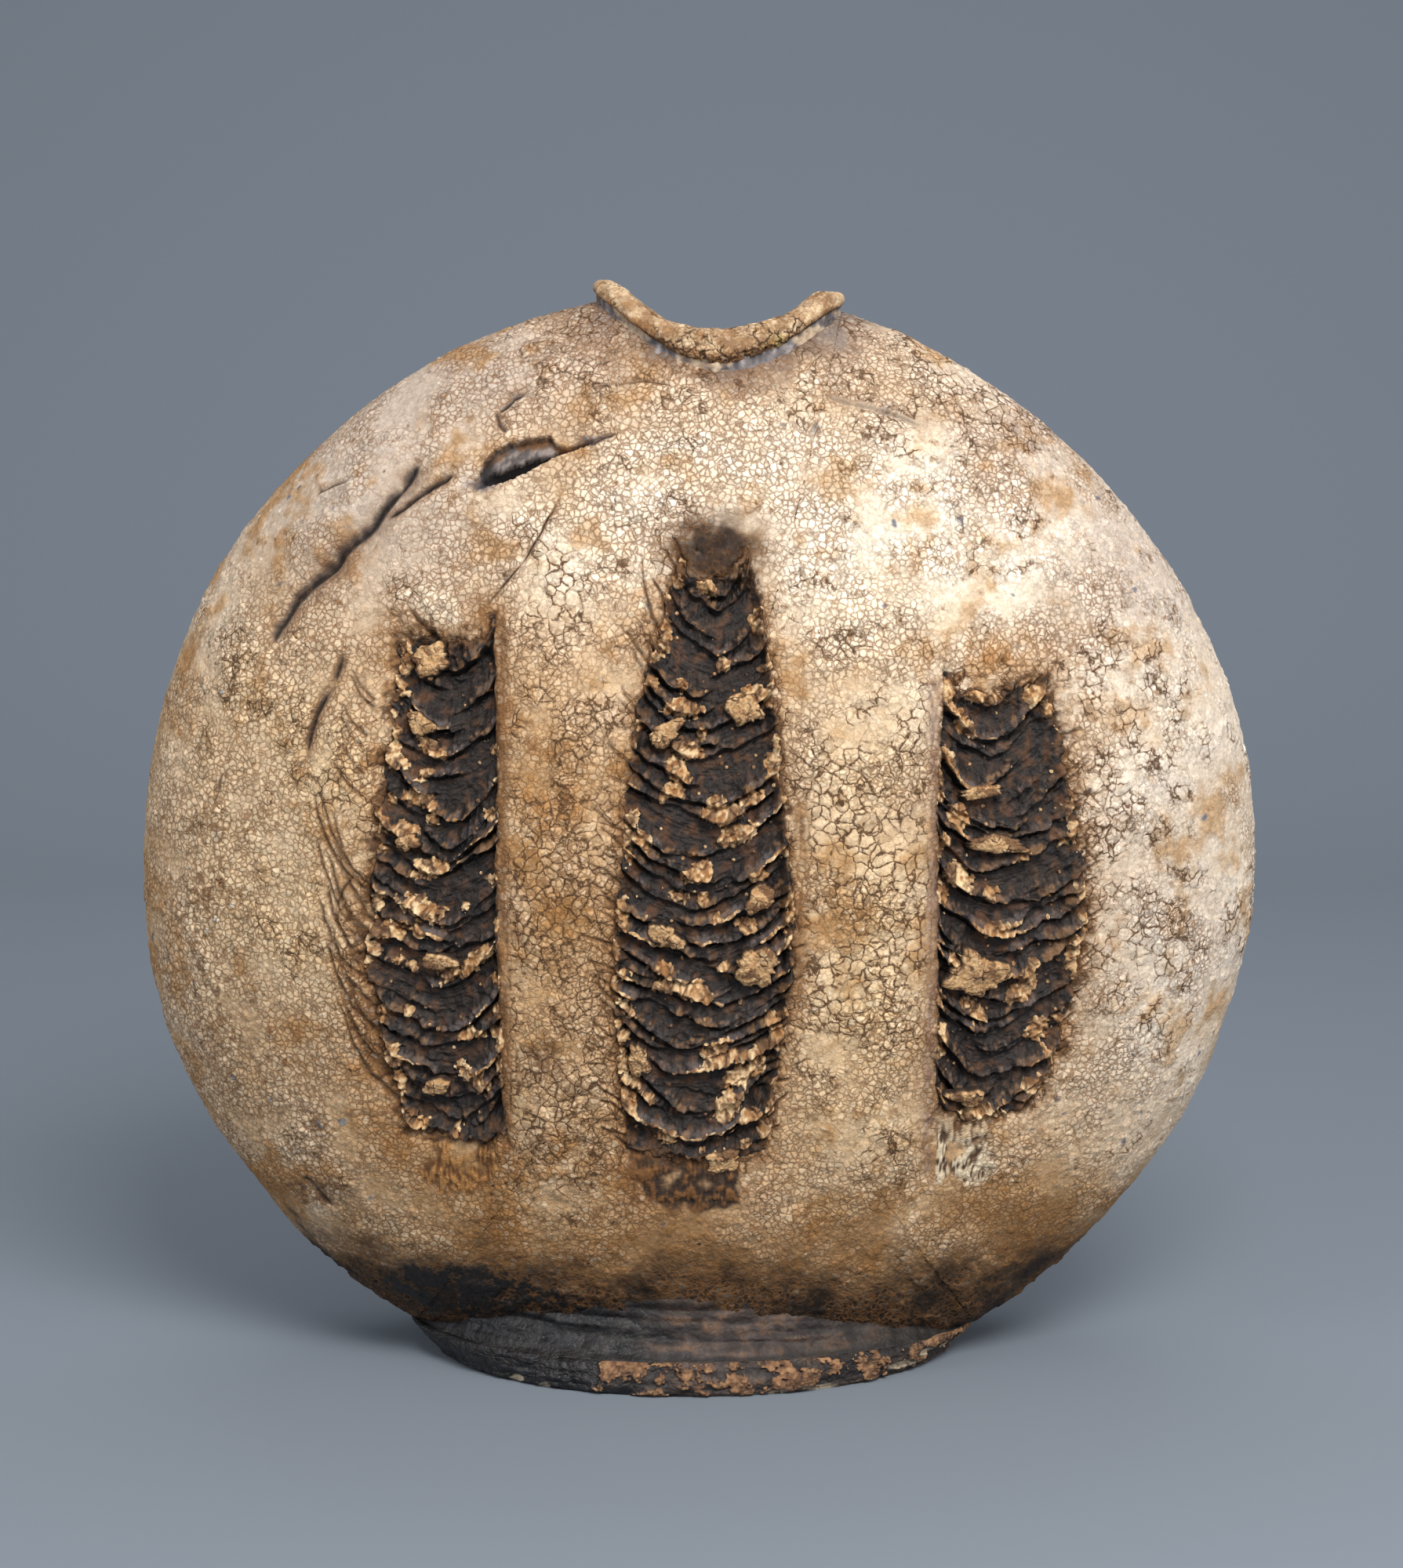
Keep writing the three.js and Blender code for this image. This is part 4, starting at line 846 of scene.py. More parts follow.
# ---------------------------------------------------------------- raked panels
def build_panel(name, s, step):
    grow = 5.0
    top, bottom = s["cad"]
    nv = int((top - bottom + 2 * grow) / step)
    nu = int((56 if name != "raked_centre" else 68) / step)
    i, j = np.meshgrid(np.linspace(0, 1, nu + 1), np.linspace(0, 1, nv + 1), indexing="ij")
    v = top + grow + (bottom - top - 2 * grow) * j
    xl, xr = edge_x(s["left"], v), edge_x(s["right"], v)
    x = xl - grow + (xr - xl + 2 * grow) * i
    t = np.clip((x - xl) / (xr - xl), 0, 1)
    z = v - s["sag"] * 0.7 * np.minimum(1, (xr - xl) / 55) * (1 - (2 * t - 1) ** 2)
    P = np.stack([x, -depth_at(x, z), z], -1).reshape(-1, 3)
    N = body_normals(P)
    P32 = P.astype(F)
    f = stripe_fields(s, P32)
    und = 1.4 * noise(P32, 120, 1) + 1.0 * noise(P32, 42, 2)
    # the panel's border dives under the wall
    h = f["h"] + und - 0.1 - 3.2 * ss(-0.8, 1.8, -f["inside"]) - 1.5 * ss(1.8, 3.0, -f["inside"])
    down = np.array([0.0, 0.0, -1.0]) + N * N[:, 2:3]
    down /= np.linalg.norm(down, axis=1, keepdims=True)
    V = P + N * np.maximum(h, -9.4)[:, None] + down * f["lean"][:, None]
    back = P - N * 10.6
    nb = (nu + 1) * (nv + 1)
    kb = 8
    iu = np.unique(np.concatenate([np.arange(0, nu + 1, kb), [nu]]))
    iv = np.unique(np.concatenate([np.arange(0, nv + 1, kb), [nv]]))
    back_idx = (iu[:, None] * (nv + 1) + iv[None, :]).ravel()
    q, uv = grid_quads(nu, nv)
    qb, uvb = grid_quads(len(iu) - 1, len(iv) - 1, base=nb, flip=True)
    pos = {int(a): nb + k for k, a in enumerate(back_idx)}

    def side(ids, coarse):
        tri = []
        for a in range(len(coarse) - 1):
            c0, c1 = coarse[a], coarse[a + 1]
            b0, b1 = pos[int(ids[c0])], pos[int(ids[c1])]
            m = (c0 + c1) // 2
            for k in range(c0, c1):
                tri.append((ids[k], ids[k + 1], b0 if k < m else b1))
                if k == max(m - 1, c0):
                    tri.append((ids[k + 1], b1, b0))
        return np.array(tri)
    low = np.arange(nu + 1) * (nv + 1)
    tris = np.concatenate([side(low, iu), side(low + nv, iu)[:, ::-1], side(np.arange(nv + 1), iv)[:, ::-1],
                           side(nu * (nv + 1) + np.arange(nv + 1), iv)])[:, ::-1]
    k = len(q) // 2
    a, b, c = P[q[k, 0]], P[q[k, 1]], P[q[k, 2]]
    if np.cross(b - a, c - a) @ N[q[k, 0]] < 0:
        q, uv, qb, uvb, tris = q[:, ::-1], uv[:, ::-1], qb[:, ::-1], uvb[:, ::-1], tris[:, ::-1]
    uvt = np.tile(np.array([[0.02, 0.8], [0.03, 0.8], [0.025, 0.82]]), (len(tris), 1, 1))
    nB = len(back_idx)
    hid = flat([0.3, 0.22, 0.16], nB)
    return make_mesh(name, np.concatenate([V, back[back_idx]]), [q, qb, tris],
                     {"Col": np.concatenate([f["col"], hid]), "Col2": np.concatenate([f["tan"], hid]), "Sel": np.concatenate([f["sel"], np.full(nB, -4)]),
                      "Rgh": np.concatenate([f["rough"], np.full(nB, 0.9)])},
                     [uv * [0.94, 0.96] + [0.05, 0.03], uvb * [0.03, 0.3] + [0.005, 0.01], uvt])


# ---------------------------------------------------------------- torn pads: x, z, width, height, thickness, turn, lobes
PADS = {
    "pad_left_1": [-101.6, 293.2, 15, 11, 3.2, 0.2, 2],
    "pad_left_2": [-105.5, 269, 11, 7, 2.6, -0.3, 3],
    "pad_left_3": [-111, 223.5, 9, 7, 2.4, 0.4, 2],
    "pad_left_4": [-99, 177.3, 13, 6, 2.4, -0.1, 3],
    "pad_left_5": [-101, 126.1, 10, 7, 2.4, 0.1, 2],
    "pad_centre_1": [18.8, 275.9, 14, 11, 3.4, -0.5, 2],
    "pad_centre_2": [-11.4, 267.2, 13, 9, 3.0, 0.5, 3],
    "pad_centre_3": [23.6, 176.9, 19, 14, 4.2, -0.3, 2],
    "pad_centre_4": [24.2, 203.5, 12, 9, 3.0, 0.7, 3],
    "pad_centre_5": [-11, 188.8, 13, 10, 3.0, -0.6, 2],
    "pad_centre_6": [-22, 139.7, 8, 12, 2.8, 0.2, 3],
    "pad_centre_7": [10.5, 98.2, 16, 9, 2.8, 0.3, 2],
    "pad_right_1": [108.2, 172.2, 21, 19, 3.6, 0.1, 2],
    "pad_right_2": [116, 222.6, 21, 6.5, 2.4, -0.15, 3],
    "pad_right_3": [109, 243.2, 16, 5.5, 2.4, 0.1, 2],
    "pad_right_4": [106, 121.4, 15, 6, 2.4, -0.1, 3],
}


def build_pad(name, cx, cz, w, h, thick, turn, lobes):
    n = 96
    rho, th = disc_grid(n)
    rho, th = rho.ravel(), th.ravel()
    seed = sum((k + 1) * ord(c) for k, c in enumerate(name)) % 89 + 3
    ring = np.stack([np.cos(th) * 2.2, np.sin(th) * 2.2, np.zeros_like(th)], 1).astype(F)
    k = lobes + 2
    corner = np.mod(th + cx, 2 * math.pi / k) - math.pi / k
    lobe = 0.45 + 0.62 * math.cos(math.pi / k) / np.cos(corner) + 0.12 * np.sin(lobes * th + cx)
    lobe += 0.36 * noise(ring, 1.7, seed) + 0.11 * noise(ring, 0.7, seed + 1) + 0.05 * noise(ring, 0.3, seed + 2)
    lobe = np.clip(lobe, 0.45, 1.3)
    p, q = rho * lobe * w / 2 * 1.10 * np.cos(th), rho * lobe * h / 2 * 1.10 * np.sin(th)
    x = cx + p * math.cos(turn) - q * math.sin(turn)
    z = cz + p * math.sin(turn) + q * math.cos(turn)
    P = np.stack([x, -depth_at(x, z), z], 1)
    N = body_normals(P)
    P32 = P.astype(F)
    rise = (1 - rho ** 14) ** 0.5
    n8, n1, n2, n3 = noise(P32, 8.0, seed + 4), noise(P32, 4.0, seed + 5), noise(P32, 1.8, seed + 6), noise(P32, 0.9, seed + 7)
    ce, _, cid = voro(warped(P32, seed, 0.8, 0.8, 0.4), 3.6, seed)
    crack = np.exp(-(ce / 0.22) ** 2) * ss(-0.1, 0.35, n1)
    top = 0.1 + thick * 0.40 + 1.1 * n8 + 0.65 * n1 + 0.30 * n2 + 0.20 * n3 - 0.45 * crack + 0.35 * (cid - 0.5) + 0.55 * (q / h) * thick - 0.9 * rho ** 3
    # the outermost ring stands, and the ring inside it lies on top, for a crisp edge
    V = P + N * (-4.0 + (top + 4.0) * rise)[:, None]
    B = P - N * 4.2
    tan = mix(flat([0.73, 0.565, 0.385], len(P)), [0.94, 0.825, 0.65], np.clip(0.5 + 0.8 * n1 + 0.7 * n2 + 0.4 * n3, 0, 1))
    tan = mix(tan, [0.52, 0.345, 0.195], ss(-0.1, 0.45, n2 + 0.7 * n1) * 0.65)
    tan = mix(tan, [0.33, 0.215, 0.14], ss(0.05, 0.40, noise(P32, 5.0, seed + 9) + 0.4 * n3) * 0.65)
    tan = mix(tan, [0.24, 0.17, 0.12], np.clip(crack, 0, 1) * 0.75)
    # painted shade along the pad's edge, where it drops to the wall
    tan = mix(tan, [0.15, 0.115, 0.10], ss(0.90, 0.99, rho + 0.03 * n2) * 0.9)
    m = 8
    k = n // m
    idx = (np.arange(0, n + 1, k)[:, None] * (n + 1) + np.arange(0, n + 1, k)[None, :]).ravel()
    qd, _ = grid_quads(n, n)
    qb, _ = grid_quads(m, m, base=len(V), flip=True)
    tris = bridge(square_loop(n), square_loop(m, len(V)))[:, ::-1]
    c = len(qd) // 2
    a, b, d = P[qd[c, 0]], P[qd[c, 1]], P[qd[c, 2]]
    if np.cross(b - a, d - a) @ N[qd[c, 0]] < 0:
        qd, qb, tris = qd[:, ::-1], qb[:, ::-1], tris[:, ::-1]
    return make_mesh(name + "_clay", np.concatenate([V, B[idx]]), [qd, qb, tris],
                     {"Col": np.concatenate([tan, flat([0.2, 0.15, 0.12], len(idx))])})


# ---------------------------------------------------------------- mouth: collar and lip
LIP_TOP_FRONT = np.array([[-41, 431.5], [-37.6, 434], [-32.4, 432.8], [-26.5, 428.4], [-21.2, 423.6], [-15.4, 421],
                          [-7.2, 419.4], [1.3, 418.2], [9.5, 417.7], [17.9, 418.3], [26.1, 420], [32.9, 422], [39.6, 424.3], [44, 426.3],
                          [47.4, 429], [51, 431.2], [53.6, 431.4], [56.3, 430], [59, 428]])
LIP_TOP_BACK = np.array([[-41, 431.5], [-37.6, 433.4], [-32.4, 430], [-26.5, 424.8], [-21.2, 420.4], [-15.4, 417],
                         [-7.2, 414.4], [1.3, 413.2], [9.5, 413], [17.9, 413.6], [26.1, 415.4], [32.9, 417.6], [39.6, 421], [44, 424],
                         [47.4, 427.4], [51, 430], [53.6, 430.8], [56.3, 430], [59, 428]])


def corner_uv(nu, nv, i, j):
    uv = np.stack([np.stack([i, j], 1), np.stack([i + 1, j], 1), np.stack([i + 1, j + 1], 1), np.stack([i, j + 1], 1)], 1).astype(float)
    return uv / [nu, nv]


def signed_volume(V, q):
    ctr = V.mean(0)
    a, b, c, d = (V[q[:, m]] - ctr for m in range(4))
    return (np.cross(b, c) * a).sum() + (np.cross(c, d) * a).sum()


def ring_mesh(name, rows, attrs):
    """Closed ring: rows has shape (around, section, 3), closed both ways round."""
    nu, nv = rows.shape[:2]
    V = rows.reshape(-1, 3)
    i, j = (g.ravel() for g in np.meshgrid(np.arange(nu), np.arange(nv), indexing="ij"))
    i2, j2 = (i + 1) % nu, (j + 1) % nv
    q = np.stack([i * nv + j, i2 * nv + j, i2 * nv + j2, i * nv + j2], 1)
    uv = corner_uv(nu, nv, i, j) * 0.96 + 0.02
    if signed_volume(V, q) < 0:
        q, uv = q[:, ::-1], uv[:, ::-1]
    return make_mesh(name, V, [q], attrs, [uv])


def tube_mesh(name, rows, attrs):
    """Closed tube with capped ends: rows has shape (along, section, 3)."""
    nu, nv = rows.shape[:2]
    V = np.concatenate([rows.reshape(-1, 3), rows[0].mean(0)[None], rows[-1].mean(0)[None]])
    i, j = (g.ravel() for g in np.meshgrid(np.arange(nu - 1), np.arange(nv), indexing="ij"))
    j2 = (j + 1) % nv
    q = np.stack([i * nv + j, (i + 1) * nv + j, (i + 1) * nv + j2, i * nv + j2], 1)
    uv = corner_uv(nu, nv, i, j) * [0.92, 0.96] + [0.04, 0.02]
    k = np.arange(nv)
    k2 = (k + 1) % nv
    last = (nu - 1) * nv
    # a side's edge runs from k2 to k at the first row, so the caps turn against it
    t = np.concatenate([np.stack([k, k2, np.full(nv, nu * nv)], 1), np.stack([last + k2, last + k, np.full(nv, nu * nv + 1)], 1)])
    uvt = np.tile(np.array([[0.005, 0.5], [0.02, 0.5], [0.01, 0.52]]), (len(t), 1, 1))
    if signed_volume(V, q) < 0:
        q, uv, t = q[:, ::-1], uv[:, ::-1], t[:, ::-1]
    att = {key: np.concatenate([val, val[:1], val[-1:]]) for key, val in attrs.items()}
    return make_mesh(name, V, [q, t], att, [uv, uvt])


def clay_tone(P, seed, base=(0.63, 0.475, 0.33), light=(0.90, 0.79, 0.63)):
    n1, n2, n3 = noise(P, 13, seed), noise(P, 4.2, seed + 1), noise(P, 1.4, seed + 2)
    c = mix(flat(base, len(P)), light, np.clip(0.48 + 0.7 * n1 + 0.6 * n2 + 0.4 * n3, 0, 1))
    return mix(c, [0.54, 0.36, 0.20], ss(0.15, 0.6, noise(P, 7, seed + 3) + 0.4 * n2) * 0.6), n1, n2, n3


def collar_top(f):
    x, y = mouth_point(f, MOUTH_A, MOUTH_B)
    return top_at(x, y) + 3.6


def build_collar():
    nu, ns = 900, 40
    f = np.linspace(0, 2 * math.pi, nu, endpoint=False)
    top = collar_top(f) + 1.2
    xo, yo = mouth_point(f, MOUTH_A, MOUTH_B)
    low = top_at(xo, yo) - 16
    foot_z = top_at(*mouth_point(f, MOUTH_A + 2.6, MOUTH_B + 2.6))
    prof = []
    for a in np.linspace(0, 1, ns):          # outside, from a small flare on the wall up to the lip
        out = 3.0 * (1 - ss(0, 0.6, np.full(nu, a)))
        x, y = mouth_point(f, MOUTH_A + out, MOUTH_B + out)
        prof.append(np.stack([x, y, foot_z - 3.0 + (top - foot_z + 3.0) * a], 1))
    for a in np.linspace(0, 1, 7)[1:]:
        x, y = mouth_point(f, MOUTH_A - 6 * a, MOUTH_B - 6 * a)
        prof.append(np.stack([x, y, top], 1))
    for a in np.linspace(0, 1, 20)[1:]:
        x, y = mouth_point(f, MOUTH_A - 6, MOUTH_B - 6)
        prof.append(np.stack([x, y, top + (low - top) * a], 1))
    for a in np.linspace(0, 1, 6)[1:]:
        x, y = mouth_point(f, MOUTH_A - 6 + 5.5 * a, MOUTH_B - 6 + 5.5 * a)
        prof.append(np.stack([x, y, low], 1))
    rows = np.stack(prof, 1)
    P = rows.reshape(-1, 3)
    P32 = P.astype(F)
    out = np.stack([(P[:, 0] - MOUTH_CX) / MOUTH_A ** 2, P[:, 1] / MOUTH_B ** 2, 0 * P[:, 0]], 1)
    out /= np.linalg.norm(out, axis=1, keepdims=True)
    c, n1, n2, n3 = clay_tone(P32, 80)
    side = (np.arange(rows.shape[1]) < ns)[None, :].repeat(nu, 0).ravel()
    streak = noise(np.stack([P32[:, 0], P32[:, 1], P32[:, 2] * 0.2], 1), 2.2, 84)
    P = P + out * ((0.55 * n2 + 0.3 * n3 + 0.3 * streak) * side)[:, None]
    grey = mix(flat([0.33, 0.315, 0.325], len(P)), [0.60, 0.565, 0.555], np.clip(0.5 + 0.8 * n2 + 0.6 * streak, 0, 1))
    c = mix(grey, c, ss(0.05, 0.45, n1 + 0.5 * n2) * 0.6)
    return ring_mesh("collar", P.reshape(rows.shape), {"Col": c, "Rgh": np.full(len(P), 0.78)})


def build_lip(name, front):
    nu, nv = (640, 180) if front else (420, 120)
    v = np.linspace(0.010, 0.990, nu)
    f = math.pi * (1 + v) if front else math.pi * v
    end = np.sin(math.pi * v) ** 0.6
    w = 3.3 + 1.7 * end
    xo, yo = mouth_point(f, MOUTH_A + 1.5 - w, MOUTH_B + 2.1 - w)
    xp = MOUTH_CX + (xo - MOUTH_CX) * 1.05
    tab = LIP_TOP_FRONT if front else LIP_TOP_BACK
    top = np.interp(xp, tab[:, 0], tab[:, 1])
    top = np.convolve(np.pad(top, 8, mode="edge"), np.ones(17) / 17, mode="valid")
    low = collar_top(f) + 0.2
    if front:                                    # the coil's lower edge sags a little left of the middle
        low = low - 1.8 * np.exp(-((xp + 6) / 22) ** 2) + 1.2 * np.exp(-((xp - 44) / 10) ** 2)
    top = np.maximum(top, low + 5.5)
    dx, dy = (xo - MOUTH_CX) / MOUTH_A ** 2, yo / MOUTH_B ** 2
    d = np.hypot(dx, dy)
    ex, ey = dx / d, dy / d
    g = np.linspace(0, 2 * math.pi, nv, endpoint=False)
    c, s = sgnpow(np.cos(g), 0.86), sgnpow(np.sin(g), 0.82)
    cap = np.sqrt(np.clip(1 - (1 - np.clip(np.minimum(v, 1 - v) / 0.030, 0, 1)) ** 2, 0.02, 1))
    rw = (w * cap)[:, None] * c[None, :]
    rz = ((top - low) / 2 * (0.30 + 0.70 * cap))[:, None] * s[None, :]
    shift = -1.1 * s[None, :] * end[:, None]     # the face leans out towards its lower edge
    X = xo[:, None] + (rw + shift) * ex[:, None]
    Y = yo[:, None] + (rw + shift) * ey[:, None]
    rows = np.stack([X, Y, (low + top)[:, None] / 2 + rz], -1)
    P = rows.reshape(-1, 3)
    P32 = P.astype(F)
    N = np.stack([c[None, :] * ex[:, None], c[None, :] * ey[:, None], np.tile(s, (nu, 1))], -1).reshape(-1, 3)
    N /= np.linalg.norm(N, axis=1, keepdims=True)
    col, n1, n2, n3 = clay_tone(P32, 90 if front else 97, base=(0.56, 0.43, 0.31), light=(0.85, 0.75, 0.61))
    e, _, cid = voro(warped(P32, 111, 1.2, 0.9, 0.4), 4.4, 12)
    S = np.tile(s, (nu, 1)).ravel()
    lower = ss(-0.25, 0.75, -S)
    xr = P[:, 0]
    middle = ss(-30, 4, xr) * ss(-50, -34, -xr)
    rz1 = np.clip((0.35 + 0.65 * lower) * middle + 0.35 * n1, 0, 1)
    notch = ss(0.42, 0.66, noise(np.stack([P32[:, 0] * 1.3, P32[:, 1] * 1.3, P32[:, 2] * 0.35], 1), 3.6, 114) + 0.10) * ss(0.35, 1, lower) * middle
    rel = 0.60 * n1 + 0.34 * n2 + 0.16 * n3 + rz1 * (0.30 * (ss(0, 1.0, e) - 1) + 0.35 * (cid - 0.5)) - 1.1 * notch
    P = P + N * (rel * np.repeat(cap, nv))[:, None]
    col = mix(col, [0.48, 0.315, 0.17], ss(0.3, 0.9, lower + 0.35 * n2) * 0.40)
    # painted shade in the notches of the coil's lower edge
    col = mix(col, [0.13, 0.095, 0.08], np.clip(0.85 * notch, 0, 1))
    # painted shade on the coil's underside
    col = mix(col, [0.10, 0.085, 0.08], ss(0.80, 1.0, lower * (0.92 + 0.2 * n2)) * 0.6)
    moss = np.exp(-((P[:, 0] - 31.5) / 4.0) ** 2 - ((P[:, 2] - 411.5) / 4.0) ** 2) * (0.75 + 0.9 * n3 + 0.4 * n2) if front else np.zeros(len(P))
    moss = np.clip(moss, 0, 1)
    col = mix(col, [0.70, 0.665, 0.40], moss * 0.8)
    P = P + N * (0.9 * moss * (0.7 + n3))[:, None]
    horn = ss(-0.05, -0.015, -np.minimum(v, 1 - v)).repeat(nv)
    col = mix(col, [0.42, 0.42, 0.36], horn * 0.6 * (P[:, 0] < 0))
    ca = np.clip(0.25 + 0.75 * rz1 + 0.3 * n2, 0, 1)
    return tube_mesh(name, P.reshape(rows.shape), {"Col": col, "Rgh": np.full(len(P), 0.84),
                                                   "Crk": np.stack([ca, np.clip(0.2 + 0.6 * rz1, 0, 1), np.full(len(P), 0.6)], 1)})


# ---------------------------------------------------------------- foot
def foot_tone(P, seed):
    """Black and slightly glossy at the left, red-brown at the right."""
    n = len(P)
    x = P[:, 0].astype(float)
    n1, n2, n3, n4 = noise(P, 26, seed), noise(P, 9, seed + 1), noise(P, 3.4, seed + 2), noise(P, 1.3, seed + 3)
    strata = noise(np.stack([P[:, 0] * 0.16, P[:, 1] * 0.16, P[:, 2] * 1.2], 1), 3.4, seed + 4)
    brown = mix(flat([0.20, 0.165, 0.155], n), [0.42, 0.355, 0.32], np.clip(0.45 + 0.55 * n2 + 0.8 * strata + 0.5 * n3, 0, 1))
    brown = mix(brown, [0.46, 0.315, 0.205], ss(0.12, 0.50, 0.5 * n2 + 0.8 * n3 + 0.7 * strata + 0.5 * n4) * 0.45)
    brown = mix(brown, [0.13, 0.11, 0.11], ss(0.10, 0.5, -n2 + 0.5 * n3 - 0.3 * strata) * 0.6)
    brown = brown * (1 - 0.40 * ss(10, 80, x))[:, None]
    black = mix(flat([0.05, 0.05, 0.058], n), [0.17, 0.17, 0.185], np.clip(0.26 + 0.6 * n3 + 0.8 * strata + 0.3 * n2, 0, 1))
    w = ss(-2, 48, -(x + 18 * n1 + 14 * n2))
    col = brown * (1 - w[:, None]) + black * w[:, None]
    return col, 0.70 - 0.24 * w + 0.10 * n3, n1, n2, n3, n4, strata, w


def build_band():
    nu, n_out = 1500, 56
    f = np.linspace(0, 2 * math.pi, nu, endpoint=False)
    prof = []
    for z in np.linspace(0.0, 13.0, n_out):
        a = np.interp(z, [0, 4.5, 9, 13], [106, 109, 114, 118])
        b = np.interp(z, [0, 4.5, 9, 13], [75, 75.8, 74.2, 71.5])
        rnd = 1.2 * (1 - ss(0, 1.8, z)) + 0.9 * ss(11.2, 13, z)
        prof.append(np.stack([FOOT_CX + (a - rnd) * np.cos(f), (b - rnd) * np.sin(f), np.full(nu, z)], 1))
    for a, b in zip(np.linspace(114, 88, 12)[1:], np.linspace(68, 37, 12)[1:]):
        prof.append(np.stack([FOOT_CX + a * np.cos(f), b * np.sin(f), np.full(nu, 12.2)], 1))
    for z in (11, 9, 6, 3, 0.9, 0.0):
        inset = 1.0 * (z < 0.5)
        prof.append(np.stack([FOOT_CX + (88 + inset) * np.cos(f), (37 + inset) * np.sin(f), np.full(nu, z)], 1))
    for a, b in zip(np.linspace(89, 104, 9)[1:-1], np.linspace(38, 73, 9)[1:-1]):
        prof.append(np.stack([FOOT_CX + a * np.cos(f), b * np.sin(f), np.full(nu, 0.0)], 1))
    rows = np.stack(prof, 1)
    P = rows.reshape(-1, 3)
    P32 = P.astype(F)
    col, rough, n1, n2, n3, n4, strata, w = foot_tone(P32, 120)
    out = np.stack([(P[:, 0] - FOOT_CX) / 110 ** 2, P[:, 1] / 74 ** 2, 0 * P[:, 0]], 1)
    out /= np.linalg.norm(out, axis=1, keepdims=True)
    side = (np.arange(rows.shape[1]) < n_out)[None, :].repeat(nu, 0).ravel().astype(float) * ss(-0.2, 1.2, P[:, 2])
    e, _, cid = voro(warped(P32, 141), 4.6, 21)
    field = noise(P32, 9, 125) + 0.4 * n3 + 0.25 * n4 + 0.25 * (cid - 0.5) - 0.04
    here = ss(-72, -30, P[:, 0] + 10 * n1)
    sel = (field - 0.03) * 5.0 * here - 3.0 * (1 - here) - 6 * (1 - side)
    scab = ss(0.0, 0.12, field) * here
    rel = 1.0 * n1 + 0.8 * n2 + 0.5 * n3 + 0.25 * n4 + 0.7 * strata + 1.0 * scab - 0.35 * np.exp(-(e / 0.25) ** 2)
    chips = np.zeros(len(P))
    for cx, cw, cz in ((-72, 3.2, 2.2), (-60, 2.5, 0.8), (82, 6.0, 4.5), (92, 3.5, 8.0), (101, 3.0, 7.0), (49, 9, 1.0), (32, 5, 0.6)):
        chips = np.maximum(chips, np.exp(-((P[:, 0] - cx) / cw) ** 2 - ((P[:, 2] - cz) / 2.0) ** 2) * (P[:, 1] < 0))
    rel -= 1.1 * ss(0.4, 0.8, chips)
    P = P + out * (rel * side)[:, None]
    P[:, 2] += 0.5 * n2 * side * ss(9, 13, P[:, 2])
    ochre = mix(flat([0.41, 0.28, 0.19], len(P)), [0.67, 0.51, 0.36], np.clip(0.4 + 0.8 * n3 + 0.6 * n4, 0, 1))
    col = mix(col, [0.86, 0.78, 0.66], ss(0.35, 0.65, chips + 0.25 * n3) * 0.85)
    sel = np.where(chips > 0.3, -4, sel)
    edge = np.exp(-((P[:, 2] - 0.8) / 1.0) ** 2) * ss(-20, 40, P[:, 0]) * side
    col = mix(col, [0.66, 0.55, 0.42], np.clip(edge * (0.6 + n2), 0, 1) * 0.5)
    ca = np.clip(0.35 + 0.5 * n2, 0, 0.8)
    return ring_mesh("foot_ring", P.reshape(rows.shape), {"Col": col, "Col2": ochre, "Sel": sel, "Rgh": np.clip(rough, 0.3, 0.95),
                                                          "Crk": np.stack([ca, ca, 0 * ca + 0.05], 1)})


